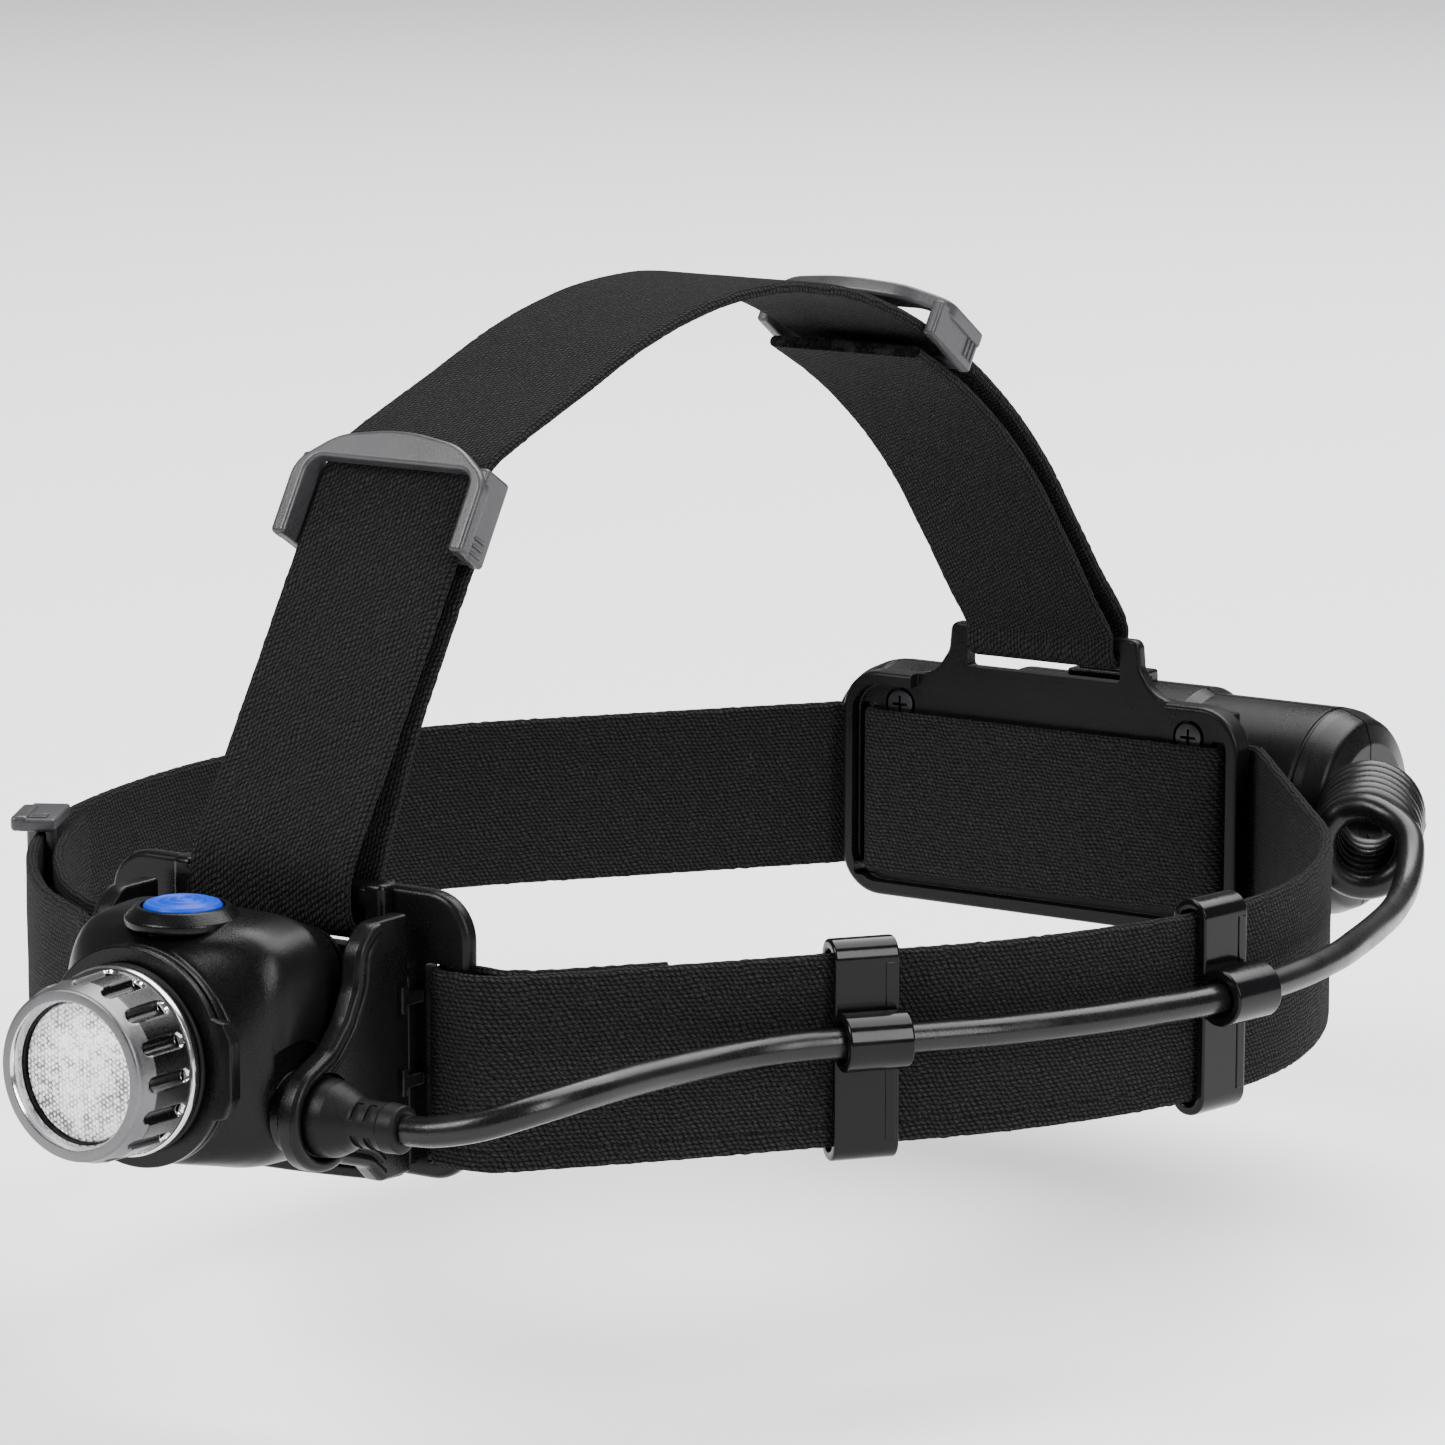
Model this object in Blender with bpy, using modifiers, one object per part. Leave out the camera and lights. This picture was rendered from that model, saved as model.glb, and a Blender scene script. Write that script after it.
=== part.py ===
"""Headlamp: a tilting, twist-focus lamp on the forehead, a battery case behind the head, and elastic straps.

All sizes are in millimetres, turned into metres as each mesh is made. The origin is the centre of the
headband at half its height. The lamp faces -Y, the wearer's left is +X, and +Z is up.
"""
import math

import bmesh
import bpy
from mathutils import Matrix, Vector
from mathutils.geometry import interpolate_bezier

MM = 0.001
GAP = 0.3                     # clearance kept between neighbouring pieces
X, Y, Z = Vector((1, 0, 0)), Vector((0, 1, 0)), Vector((0, 0, 1))

# ---- driving dimensions -------------------------------------------------------------------------
STRAP_WIDTH = 25.0            # elastic webbing
STRAP_THICK = 1.6
STRAP_HALF = STRAP_THICK / 2
LAYER_GAP = 3.6               # between the centres of two strap layers under a slider

PIVOT_Y, PIVOT_Z = -114.5, -3.0     # tilt axis, along X
LAMP_Z = 4.0                        # height of the optical axis
LAMP_FRONT = 138.0                  # distance of the bezel's face in front of the origin
BUTTON_Y = -115.6

CELL_RADIUS, CELL_LENGTH = 9.2, 65.0
CASE_Y, CASE_Z = 110.0, 0.5         # axis of the battery case
CASE_RADIUS, CASE_HALF = 15.5, 44.0
DOOR_HINGE_Z = -18.2
RELIEF_Y = 104.4              # where the cable enters the case's left end

CABLE_RADIUS = 1.95
COIL_RADIUS = 8.0
COIL_START = Vector((62.5, 74.5, 4.0))
COIL_AXIS = Vector((-11.0, 22.0, 0.0)).normalized()
COIL_LENGTH = 27.0

# ---- scene set-up -------------------------------------------------------------------------------
for old in list(bpy.data.objects):
    bpy.data.objects.remove(old)
parts = bpy.data.collections.new("headlamp")
cutters = bpy.data.collections.new("cutters")
for collection in (parts, cutters):
    bpy.context.scene.collection.children.link(collection)
cutters.hide_render = True


def material(name, colour, roughness, metallic=0.0):
    made = bpy.data.materials.new(name)
    made.use_nodes = True
    shader = made.node_tree.nodes["Principled BSDF"]
    shader.inputs["Base Color"].default_value = (*colour, 1.0)
    shader.inputs["Roughness"].default_value = roughness
    shader.inputs["Metallic"].default_value = metallic
    return made


BLACK_PLASTIC = material("black_plastic", (0.012, 0.012, 0.013), 0.42)
GLOSS_PLASTIC = material("gloss_black_plastic", (0.008, 0.008, 0.009), 0.2)
DARK_PLASTIC = material("dark_grey_plastic", (0.035, 0.035, 0.037), 0.45)
BLUE_RUBBER = material("blue_rubber", (0.01, 0.06, 0.45), 0.4)
BLACK_RUBBER = material("black_rubber", (0.015, 0.015, 0.015), 0.6)
WEBBING = material("black_webbing", (0.012, 0.012, 0.013), 0.9)
CABLE_JACKET = material("cable_jacket", (0.01, 0.01, 0.01), 0.35)
GREY_ALUMINIUM = material("grey_aluminium", (0.3, 0.3, 0.31), 0.35, 1.0)
PLAIN_ALUMINIUM = material("plain_aluminium", (0.75, 0.75, 0.76), 0.3, 1.0)
STEEL = material("zinc_steel", (0.55, 0.55, 0.56), 0.3, 1.0)
CLEAR_PLASTIC = material("clear_plastic", (0.95, 0.96, 0.97), 0.1)
EMITTER_YELLOW = material("emitter_yellow", (0.9, 0.75, 0.2), 0.3)
BOARD_GREEN = material("board_green", (0.03, 0.16, 0.07), 0.5)
CELL_WRAP = material("cell_wrap", (0.03, 0.12, 0.3), 0.35)


# ---- modelling helpers --------------------------------------------------------------------------
def place(name, mesh, finish, collection=parts):
    thing = bpy.data.objects.new(name, mesh)
    collection.objects.link(thing)
    if collection is cutters:
        thing.display_type = "WIRE"
    else:
        mesh.materials.append(finish)
    return thing


def to_mesh(name, bm):
    """Turn a bmesh drawn in millimetres into a closed mesh in metres."""
    bmesh.ops.recalc_face_normals(bm, faces=bm.faces)
    bmesh.ops.scale(bm, vec=(MM, MM, MM), verts=bm.verts)
    mesh = bpy.data.meshes.new(name)
    bm.to_mesh(mesh)
    bm.free()
    return mesh


def block(name, low, high, finish=None, collection=parts):
    """A box between two corners."""
    low, high = Vector(low), Vector(high)
    bm = bmesh.new()
    bmesh.ops.create_cube(bm, size=1.0)
    bmesh.ops.scale(bm, vec=high - low, verts=bm.verts)
    bmesh.ops.translate(bm, vec=(high + low) / 2, verts=bm.verts)
    return place(name, to_mesh(name, bm), finish, collection)


def round_edges(thing, width, segments=1):
    bevel = thing.modifiers.new("rounded_edges", "BEVEL")
    bevel.width = width * MM
    bevel.segments = segments
    bevel.limit_method = "ANGLE"
    bevel.angle_limit = math.radians(40)


def rod(name, radius, start, end, finish=None, sides=24, collection=parts):
    """A cylinder from start to end."""
    start, end = Vector(start), Vector(end)
    along = end - start
    bm = bmesh.new()
    bmesh.ops.create_cone(bm, cap_ends=True, segments=sides, radius1=radius, radius2=radius,
                          depth=along.length)
    turn = along.to_track_quat("Z", "Y").to_matrix()
    bmesh.ops.rotate(bm, cent=(0, 0, 0), matrix=turn, verts=bm.verts)
    bmesh.ops.translate(bm, vec=(start + end) / 2, verts=bm.verts)
    return place(name, to_mesh(name, bm), finish, collection)


def turned(name, profile, centre, axis, finish=None, steps=28, closed=False, collection=parts):
    """A turned piece: profile is (radius, distance along axis) from its far end back to its near one."""
    bm = bmesh.new()
    points = [bm.verts.new((radius, 0, along)) for radius, along in profile]
    pairs = list(zip(points, points[1:]))
    if closed:
        pairs.append((points[-1], points[0]))
    for pair in pairs:
        bm.edges.new(pair)
    bmesh.ops.scale(bm, vec=(MM, MM, MM), verts=bm.verts)
    mesh = bpy.data.meshes.new(name)
    bm.to_mesh(mesh)
    bm.free()
    thing = place(name, mesh, finish, collection)
    thing.location = Vector(centre) * MM
    thing.rotation_euler = Vector(axis).to_track_quat("Z", "Y").to_euler()
    screw = thing.modifiers.new("turn", "SCREW")
    screw.steps = screw.render_steps = steps
    screw.use_merge_vertices = True
    screw.merge_threshold = 1e-5
    return thing


def slab(name, outline, low, high, axis, finish=None, collection=parts):
    """A flat outline extruded along axis from low to high.

    The outline's two numbers run along the two axes after the slab's own: X gives (y, z), Y gives (x, z)
    and Z gives (x, y).
    """
    bm = bmesh.new()
    corners = []
    for first, second in outline:
        corner = {"X": (low, first, second), "Y": (first, low, second), "Z": (first, second, low)}[axis]
        corners.append(bm.verts.new(corner))
    face = bm.faces.new(corners)
    raised = bmesh.ops.extrude_face_region(bm, geom=[face])["geom"]
    offset = {"X": X, "Y": Y, "Z": Z}[axis] * (high - low)
    bmesh.ops.translate(bm, vec=offset, verts=[g for g in raised if isinstance(g, bmesh.types.BMVert)])
    return place(name, to_mesh(name, bm), finish, collection)


def loft(name, rings, finish=None, closed=False, collection=parts):
    """Skin a list of rings; open lofts are capped, and closed ones join the last ring to the first."""
    bm = bmesh.new()
    loops = [[bm.verts.new(point) for point in ring] for ring in rings]
    count = len(loops[0])
    pairs = list(zip(loops, loops[1:]))
    if closed:
        pairs.append((loops[-1], loops[0]))
    else:
        bm.faces.new(loops[0])
        bm.faces.new(loops[-1])
    for lower, upper in pairs:
        for i in range(count):
            j = (i + 1) % count
            bm.faces.new((lower[i], lower[j], upper[j], upper[i]))
    return place(name, to_mesh(name, bm), finish, collection)


def ribbon(name, path, width, finish, thickness=STRAP_THICK):
    """A strip of even thickness along path, a list of (centre point, direction across the strip)."""
    bm = bmesh.new()
    previous = None
    for centre, across in path:
        edge = [bm.verts.new(Vector(centre) + Vector(across) * side * width / 2) for side in (-1, 1)]
        if previous:
            bm.faces.new((previous[0], previous[1], edge[1], edge[0]))
        previous = edge
    bmesh.ops.scale(bm, vec=(MM, MM, MM), verts=bm.verts)
    mesh = bpy.data.meshes.new(name)
    bm.to_mesh(mesh)
    bm.free()
    thing = place(name, mesh, finish)
    shell = thing.modifiers.new("thickness", "SOLIDIFY")
    shell.thickness = thickness * MM
    shell.offset = 0.0
    shell.use_even_offset = True
    return thing


def boolean(thing, other, operation):
    """Join other to thing, or cut it away; other becomes a hidden cutter."""
    if other.name in parts.objects:
        parts.objects.unlink(other)
        cutters.objects.link(other)
        other.display_type = "WIRE"
    step = thing.modifiers.new(operation.lower(), "BOOLEAN")
    step.operation = operation
    step.solver = "EXACT"
    step.object = other


def join(thing, *others):
    for other in others:
        boolean(thing, other, "UNION")


def cut(thing, *others):
    for other in others:
        boolean(thing, other, "DIFFERENCE")


def cut_block(thing, low, high):
    cut(thing, block(thing.name + "_cut", low, high, collection=cutters))


def cut_rod(thing, radius, start, end, sides=24):
    cut(thing, rod(thing.name + "_bore", radius, start, end, sides=sides, collection=cutters))


def arc(centre, radius, start, end, count):
    """Points on a circle, with its angles in degrees."""
    angles = [math.radians(start + (end - start) * i / count) for i in range(count + 1)]
    return [(centre[0] + radius * math.cos(a), centre[1] + radius * math.sin(a)) for a in angles]


def rounded_rectangle(half_width, low, high, corner, count=5):
    left, right = -half_width + corner, half_width - corner
    bottom, top = low + corner, high - corner
    return (arc((right, top), corner, 0, 90, count) + arc((left, top), corner, 90, 180, count)
            + arc((left, bottom), corner, 180, 270, count) + arc((right, bottom), corner, 270, 360, count))


def squircle(y, half_width, low, high, power, count=28):
    """A ring across Y between a circle (power 2) and a square with round corners."""
    ring = []
    for i in range(count):
        a = 2 * math.pi * i / count
        c, s = math.cos(a), math.sin(a)
        ring.append((math.copysign(abs(c) ** (2 / power), c) * half_width, y,
                     (low + high) / 2 + math.copysign(abs(s) ** (2 / power), s) * (high - low) / 2))
    return ring


def smooth(points, step=5.0):
    """An even polyline through the given points, by cubic pieces with matching slopes."""
    points = [Vector(p) for p in points]
    ends = [2 * points[0] - points[1]] + points + [2 * points[-1] - points[-2]]
    line = [points[0]]
    for i in range(1, len(ends) - 2):
        start, end = ends[i], ends[i + 1]
        handle_1 = start + (end - ends[i - 1]) / 6
        handle_2 = end - (ends[i + 2] - start) / 6
        count = max(2, round((end - start).length / step))
        line += interpolate_bezier(start, handle_1, handle_2, end, count + 1)[1:]
    return line


def normals(line):
    """Unit normals of a flat (u, w) polyline, to the left of its direction."""
    result = []
    for i in range(len(line)):
        along = Vector(line[min(i + 1, len(line) - 1)]) - Vector(line[max(i - 1, 0)])
        result.append(Vector((-along.y, along.x)).normalized())
    return result


def beside(line, start_gap, end_gap, blend):
    """The line moved to its left, by a gap that goes from start_gap to end_gap within blend millimetres.

    Negative gaps move it to its right. Points that would fall back inside a tight bend are left out.
    """
    result, travelled = [], 0.0
    for i, (point, normal) in enumerate(zip(line, normals(line))):
        if i:
            travelled += (point - line[i - 1]).length
        share = min(travelled / blend, 1.0)
        share = share * share * (3 - 2 * share)
        moved = point + normal * (start_gap + (end_gap - start_gap) * share)
        forward = Vector((normal.y, -normal.x))
        if not result or (moved - result[-1]).dot(forward) > 0.4:
            result.append(moved)
    return result


def cut_to_length(line, length):
    travelled, kept = 0.0, [line[0]]
    for previous, point in zip(line, line[1:]):
        travelled += (point - previous).length
        if travelled > length:
            break
        kept.append(point)
    return kept


# ---- straps -------------------------------------------------------------------------------------
SIDE_BAR_X, SIDE_BAR_END = 26.0, 28.3       # outer bar of the front bracket's side slots
FRONT_Y = (-95.0, -92.5)                    # front and back faces of the front bracket's plate
LOOP_FRONT = FRONT_Y[0] - GAP - STRAP_HALF  # centre of the strap in front of the bar
LOOP_BACK = FRONT_Y[1] + GAP + STRAP_HALF
REAR_Y = (89.0, 91.3)                       # inner and outer faces of the rear bracket's plate
REAR_BAR_X = 33.15
REAR_WRAP = 2.9                             # radius of the strap's turn round the rear end bar
REAR_INNER_Y = REAR_Y[0] - 0.6 - STRAP_HALF

# both sides of the headband in plan, mirrored to +X, from the front bracket's bar to the rear one's;
# the wearer's right side bulges where the strap is doubled
LEFT_FRONT = [(34.1, -93.6), (46.5, -78.2), (59.1, -61.3), (73.6, -41.5), (83.2, -20.3)]
RIGHT_FRONT = [(34.1, -93.6), (48.5, -84.0), (62.3, -70.0), (72.9, -55.2), (80.2, -39.5), (84.8, -20.3)]
SIDE_REAR = [(86.5, 0.0), (83.3, 20.5), (73.9, 41.6), (59.5, 61.0), (47.2, 76.8), (35.43, 91.94)]
LEFT_ROUTE, RIGHT_ROUTE = LEFT_FRONT + SIDE_REAR, RIGHT_FRONT + SIDE_REAR


def side_line(route):
    """Plan of one side of the headband, from the slot in the front bracket to its rear one."""
    fold_turn = arc((29.0, LOOP_FRONT + 6.5), 6.5, -90, -38, 4)
    rear_turn = arc((REAR_BAR_X, sum(REAR_Y) / 2), REAR_WRAP, 38, 180, 8)
    inner_turn = arc((28.65, REAR_INNER_Y + 1.6), 1.6, 0, -90, 4)
    line = [Vector(p) for p in fold_turn[:-1]] + smooth(route)
    return line + [Vector(p) for p in rear_turn[1:] + inner_turn]


def side_fold():
    """The turn round the front bracket's bar, from its back to its front."""
    middle = (LOOP_FRONT + LOOP_BACK) / 2
    return [Vector(p) for p in arc((SIDE_BAR_X - 0.6, middle), (LOOP_BACK - LOOP_FRONT) / 2, 90, 270, 8)]


def flipped(line):
    return [Vector((-p.x, p.y)) for p in line]


def headband():
    left, right = side_line(LEFT_ROUTE), side_line(RIGHT_ROUTE)
    stitched_end = cut_to_length(beside(left, LOOP_BACK - LOOP_FRONT, 2.0, 12.0), 24.0)
    doubled = cut_to_length(beside(right, LOOP_BACK - LOOP_FRONT, LAYER_GAP, 14.0), 68.0)
    left = list(reversed(stitched_end)) + side_fold() + left
    right = list(reversed(doubled)) + side_fold() + right
    line = left + list(reversed(flipped(right)))
    path = [((p.x, p.y, 0.0), Z) for p in line]
    return ribbon("headband", path, STRAP_WIDTH, WEBBING)


TOP_BAR = (-97.0, FRONT_Y[1], 18.8)         # front bracket's top bar: front, back and lower edge
REAR_BAR_Z = 25.2                           # lower edge of the rear bracket's top bar
TOP_FRONT = TOP_BAR[0] - GAP - STRAP_HALF
TOP_BACK = TOP_BAR[1] + GAP + STRAP_HALF
CROWN_REAR = REAR_Y[1] + GAP + STRAP_HALF
CROWN_INNER = REAR_Y[0] - GAP - STRAP_HALF

# outer layer of the top strap in the plane x = 0, from the front bracket's bar to the rear one
TOP_ROUTE = [(TOP_FRONT, TOP_BAR[2]), (TOP_FRONT + 0.05, 22.2), (-96.4, 26.2), (-91.0, 34.4), (-84.4, 44.8),
             (-77.8, 55.3), (-71.4, 65.5), (-69.2, 68.9), (-66.0, 71.5), (-59.0, 74.2), (-47.6, 78.0),
             (-32.0, 83.2), (-17.0, 86.3), (-3.0, 87.2), (9.0, 86.2), (20.0, 83.9), (30.5, 80.4),
             (40.0, 76.1), (49.5, 70.9), (59.5, 63.9), (69.0, 55.4), (77.3, 45.8), (85.0, 36.8),
             (90.4, 31.2), (92.2, 28.2), (CROWN_REAR, REAR_BAR_Z)]


def top_strap():
    outer = smooth(TOP_ROUTE)
    front_gap, rear_gap = TOP_BACK - TOP_FRONT, CROWN_REAR - CROWN_INNER
    front_inner = cut_to_length(beside(outer, -front_gap, -LAYER_GAP, 30.0), 56.5)
    rear_inner = cut_to_length(beside(list(reversed(outer)), rear_gap, LAYER_GAP, 24.0), 75.0)
    front_fold = arc(((TOP_FRONT + TOP_BACK) / 2, TOP_BAR[2]), front_gap / 2, 0, -180, 10)
    rear_fold = arc((sum(REAR_Y) / 2, REAR_BAR_Z), rear_gap / 2, 0, -180, 8)
    line = list(reversed(front_inner)) + front_fold[1:-1] + outer + rear_fold[1:-1] + rear_inner
    return ribbon("top_strap", [((0.0, y, z), X) for y, z in line], STRAP_WIDTH, WEBBING)


def local_frame(line, near, to_world):
    """Origin, direction along and outward normal where a strap's line passes nearest to a point."""
    near = Vector(near)
    i = min(range(1, len(line) - 1), key=lambda k: (line[k] - near).length)
    along = (line[i + 1] - line[i - 1]).normalized()
    outward = Vector((along.y, -along.x))
    if outward.dot(line[i]) < 0:
        outward = -outward
    return to_world(line[i]), to_world(along), to_world(outward)


def stand_on(thing, frame):
    """Move a piece drawn with X along the strap, Y across it and Z outward to its place on the strap."""
    origin, along, outward = frame
    across = outward.cross(along)
    turn = Matrix((along, across, outward)).transposed().to_4x4()
    for mesh in (thing.data, *(step.object.data for step in thing.modifiers if step.type == "BOOLEAN")):
        mesh.transform(Matrix.Translation(origin * MM) @ turn)


def in_plan(point):
    return Vector((point.x, point.y, 0.0))


def in_side_view(point):
    return Vector((0.0, point.x, point.y))


HEAVY_BAR, THIN_BAR, ARM_END = (4.0, 9.2), (-6.4, -3.4), -6.7       # along the strap from the slider's middle


def slider(name, frame, heavy_end, lift=0.0):
    """A frame with a heavy outer bar at one end and a thin bar between the strap's layers at the other.

    The heavy bar is towards the strap's end if heavy_end is 1, or its start if -1, and is lifted off the
    strap by lift degrees.
    """
    arm_inside, arm_outside = STRAP_WIDTH / 2 + 0.4, STRAP_WIDTH / 2 + 2.6
    under = (-STRAP_HALF - 1.6, -STRAP_HALF - 0.4)
    over = (STRAP_HALF + 0.4, STRAP_HALF + 2.8)
    bar_end = arm_outside - 0.3
    near, far = sorted(heavy_end * end for end in HEAVY_BAR)
    bar = block(name, (near, -bar_end, over[0]), (far, bar_end, over[1]), DARK_PLASTIC)
    near, far = sorted(heavy_end * end for end in THIN_BAR)
    join(bar, block("thin_bar", (near, -bar_end, under[0]), (far, bar_end, under[1]), DARK_PLASTIC))
    near, far = sorted((heavy_end * ARM_END, heavy_end * (HEAVY_BAR[1] - 0.3)))
    for side in (-1, 1):
        inner, outer = sorted((side * arm_inside, side * arm_outside))
        join(bar, block("arm", (near, inner, under[0] - 0.2), (far, outer, over[1] - 0.7), DARK_PLASTIC))
    origin, along, outward = frame
    hinge = along * heavy_end * sum(THIN_BAR) / 2 + outward * sum(under) / 2
    turn = Matrix.Rotation(math.radians(-heavy_end * lift), 3, outward.cross(along))
    stand_on(bar, (origin + hinge - turn @ hinge, turn @ along, turn @ outward))
    return bar


CLIP_THICK, CLIP_WIDTH = 1.3, 8.6
CLIP_FACE = STRAP_HALF + 0.6 + CLIP_THICK / 2       # centre of the clip's plate from the strap's centre
CABLE_OFFSET = CLIP_FACE + 2.9                      # centre of the cable from the strap's centre
CABLE_HEIGHT = 2.0


def cable_clip(name, frame):
    """A strip bent round the strap's back edges, with an open loop for the cable at its front."""
    edge = STRAP_WIDTH / 2 + 0.5 + CLIP_THICK / 2
    loop = CABLE_RADIUS + 0.5 + CLIP_THICK / 2
    ring = arc((CABLE_OFFSET, CABLE_HEIGHT), loop, -135, 135, 12)
    back_hook = [(-CLIP_FACE, -edge + 6.5), (-CLIP_FACE, -edge + 1.2), (-CLIP_FACE + 1.2, -edge)]
    front_foot = [(CLIP_FACE - 1.2, -edge), (CLIP_FACE, -edge + 1.2), (CLIP_FACE, ring[0][1] - 1.0)]
    front_head = [(CLIP_FACE, ring[-1][1] + 1.0), (CLIP_FACE, edge - 1.2), (CLIP_FACE - 1.2, edge)]
    top_hook = [(-CLIP_FACE + 1.2, edge), (-CLIP_FACE, edge - 1.2), (-CLIP_FACE, edge - 6.5)]
    profile = back_hook + front_foot + ring + front_head + top_hook
    clip = ribbon(name, [((0.0, height, out), X) for out, height in profile], CLIP_WIDTH, GLOSS_PLASTIC,
                  CLIP_THICK)
    stand_on(clip, frame)
    return clip


def straps_and_sliders():
    headband()
    top_strap()
    side, top = smooth(LEFT_ROUTE, 1.0), smooth(TOP_ROUTE, 1.0)
    slider("side_slider", local_frame(flipped(smooth(RIGHT_ROUTE, 1.0)), (-74.6, -52.4), in_plan), 1)
    slider("front_top_slider", local_frame(top, (-71.6, 65.2), in_side_view), 1)
    slider("rear_top_slider", local_frame(top, (39.5, 76.3), in_side_view), -1, lift=8.0)
    cable_clip("front_cable_clip", local_frame(side, (62.0, -57.6), in_plan))
    cable_clip("rear_cable_clip", local_frame(side, (85.3, -10.5), in_plan))


# ---- front bracket and tilt cradle --------------------------------------------------------------
FRAME_FRONT = -97.0           # face of the bracket's raised middle
CRADLE = (-99.0, FRAME_FRONT - GAP)
CRADLE_LOW = -13.6
ARM_INNER, ARM_OUTER = 18.4, 20.9
EYE_OUTER, EYE_BORE = 6.9, 5.5
PAD_BACK = -89.6


def front_bracket():
    outline = rounded_rectangle(SIDE_BAR_END, -14.8, 22.0, 6.0)
    plate = slab("front_bracket", outline, *FRONT_Y, "Y", BLACK_PLASTIC)
    raised = block("raised_middle", (-20.5, FRAME_FRONT, -13.5), (20.5, -94.0, 12.2), BLACK_PLASTIC)
    bar = block("top_bar", (-16.5, TOP_BAR[0], TOP_BAR[2]), (16.5, TOP_BAR[1], 22.0), BLACK_PLASTIC)
    pad = block("forehead_pad", (-20.0, -93.5, -13.0), (20.0, PAD_BACK, 12.0), BLACK_PLASTIC)
    join(plate, raised, bar, pad)
    for side in (-1, 1):
        near, far = sorted((side * 21.8, side * SIDE_BAR_X))
        cut_block(plate, (near, -100, -12.9), (far, -88, 12.9))
    cut_block(plate, (-13.3, -100, 13.6), (13.3, -88, TOP_BAR[2]))
    round_edges(plate, 0.5)
    return plate


def arm_outline():
    """Side view of a cradle arm: from the bracket it sweeps forward round the pivot eye."""
    eye = (PIVOT_Y, PIVOT_Z)
    top = [(CRADLE[1], 19.4), (-104.0, 19.4), (-107.2, 17.6), (-108.3, 12.2), (-110.4, 8.2), (-113.0, 5.4)]
    bottom = [(-105.5, -11.2), (-103.4, CRADLE_LOW), (CRADLE[1], CRADLE_LOW)]
    return top + arc(eye, EYE_OUTER, 112, 292, 12) + bottom


def tilt_cradle():
    plate = block("tilt_cradle", (-ARM_OUTER, CRADLE[0], CRADLE_LOW), (ARM_OUTER, CRADLE[1], 12.0),
                  BLACK_PLASTIC)
    for side in (-1, 1):
        near, far = sorted((side * ARM_INNER, side * ARM_OUTER))
        join(plate, slab("arm", arm_outline(), near, far, "X", BLACK_PLASTIC))
        for height in (-1.7, 8.8):
            inner, outer = sorted((side * (ARM_OUTER - 0.1), side * (ARM_OUTER + 0.9)))
            join(plate, block("latch_tab", (inner, -99.6, height - 0.8), (outer, -95.3, height + 0.8),
                              BLACK_PLASTIC))
    hoop = [(-ARM_OUTER + 0.2, -98.0), (-ARM_OUTER + 0.2, -101.5)] + [
        (x, -101.5 - 3.0 * math.cos(math.pi * x / 40)) for x in (-16, -11, -5, 0, 5, 11, 16)
    ] + [(ARM_OUTER - 0.2, -101.5), (ARM_OUTER - 0.2, -98.0)]
    join(plate, slab("lower_hoop", hoop, CRADLE_LOW - 0.4, -12.2, "Z", BLACK_PLASTIC))
    cut_rod(plate, EYE_BORE, (ARM_INNER - 2, PIVOT_Y, PIVOT_Z), (ARM_OUTER + 2, PIVOT_Y, PIVOT_Z))
    cut_rod(plate, 3.4, (-ARM_OUTER - 2, PIVOT_Y, PIVOT_Z), (2 - ARM_INNER, PIVOT_Y, PIVOT_Z))
    return plate


# ---- lamp head ----------------------------------------------------------------------------------
HOUSING_REAR = -102.0
CORNERS = [(x, z) for x in (-10.4, 10.4) for z in (-3.2, 13.2)]
OPTICAL_AXIS = (0.0, 0.0, LAMP_Z)
FORWARD = -Y


def lamp_housing():
    outer = [squircle(HOUSING_REAR, 14.4, -7.8, 17.6, 5), squircle(-109.2, 17.0, -11.0, 20.4, 5),
             squircle(-116.6, 17.0, -11.0, 20.0, 4.6), squircle(-119.4, 16.2, -10.4, 19.2, 3.6),
             squircle(-121.8, 14.6, -10.2, 18.2, 2.6),
             squircle(-123.3, 13.7, LAMP_Z - 13.7, LAMP_Z + 13.7, 2)]
    front_bore = 10.1
    inner = [squircle(-123.3, front_bore, LAMP_Z - front_bore, LAMP_Z + front_bore, 2),
             squircle(-121.2, front_bore, LAMP_Z - front_bore, LAMP_Z + front_bore, 2),
             squircle(-116.5, 15.2, -9.2, 18.2, 4.6), squircle(-109.2, 15.2, -9.2, 18.4, 5),
             squircle(HOUSING_REAR, 12.6, -6.0, 15.8, 5)]
    housing = loft("lamp_housing", outer + inner, BLACK_PLASTIC, closed=True)
    join(housing, rod("button_rim", 6.4, (0, BUTTON_Y, 18.6), (0, BUTTON_Y, 21.2), BLACK_PLASTIC, 32))
    cable_hub, pin_hub = (16.0, 20.6), (-18.1, -14.6)
    for name, radius, (near, far) in (("cable_hub", 5.2, cable_hub), ("pin_hub", 4.6, pin_hub)):
        join(housing, rod(name, radius, (near, PIVOT_Y, PIVOT_Z), (far, PIVOT_Y, PIVOT_Z), BLACK_PLASTIC, 28))
    for x, z in CORNERS:
        post = rod("post", 2.2, (x * 1.05, HOUSING_REAR - 0.4, z), (x * 1.05, -108.6, z), BLACK_PLASTIC, 12)
        join(housing, post)
    for x, z in CORNERS:
        cut_rod(housing, 1.0, (x, HOUSING_REAR + 1, z), (x, -107.5, z), 12)
    cut_rod(housing, 5.3, (0, BUTTON_Y, 16), (0, BUTTON_Y, 23), 32)
    cut_rod(housing, 2.6, (13, PIVOT_Y, PIVOT_Z), (22, PIVOT_Y, PIVOT_Z))
    cut_rod(housing, 1.5, (-20, PIVOT_Y, PIVOT_Z), (-12, PIVOT_Y, PIVOT_Z), 16)


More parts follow.
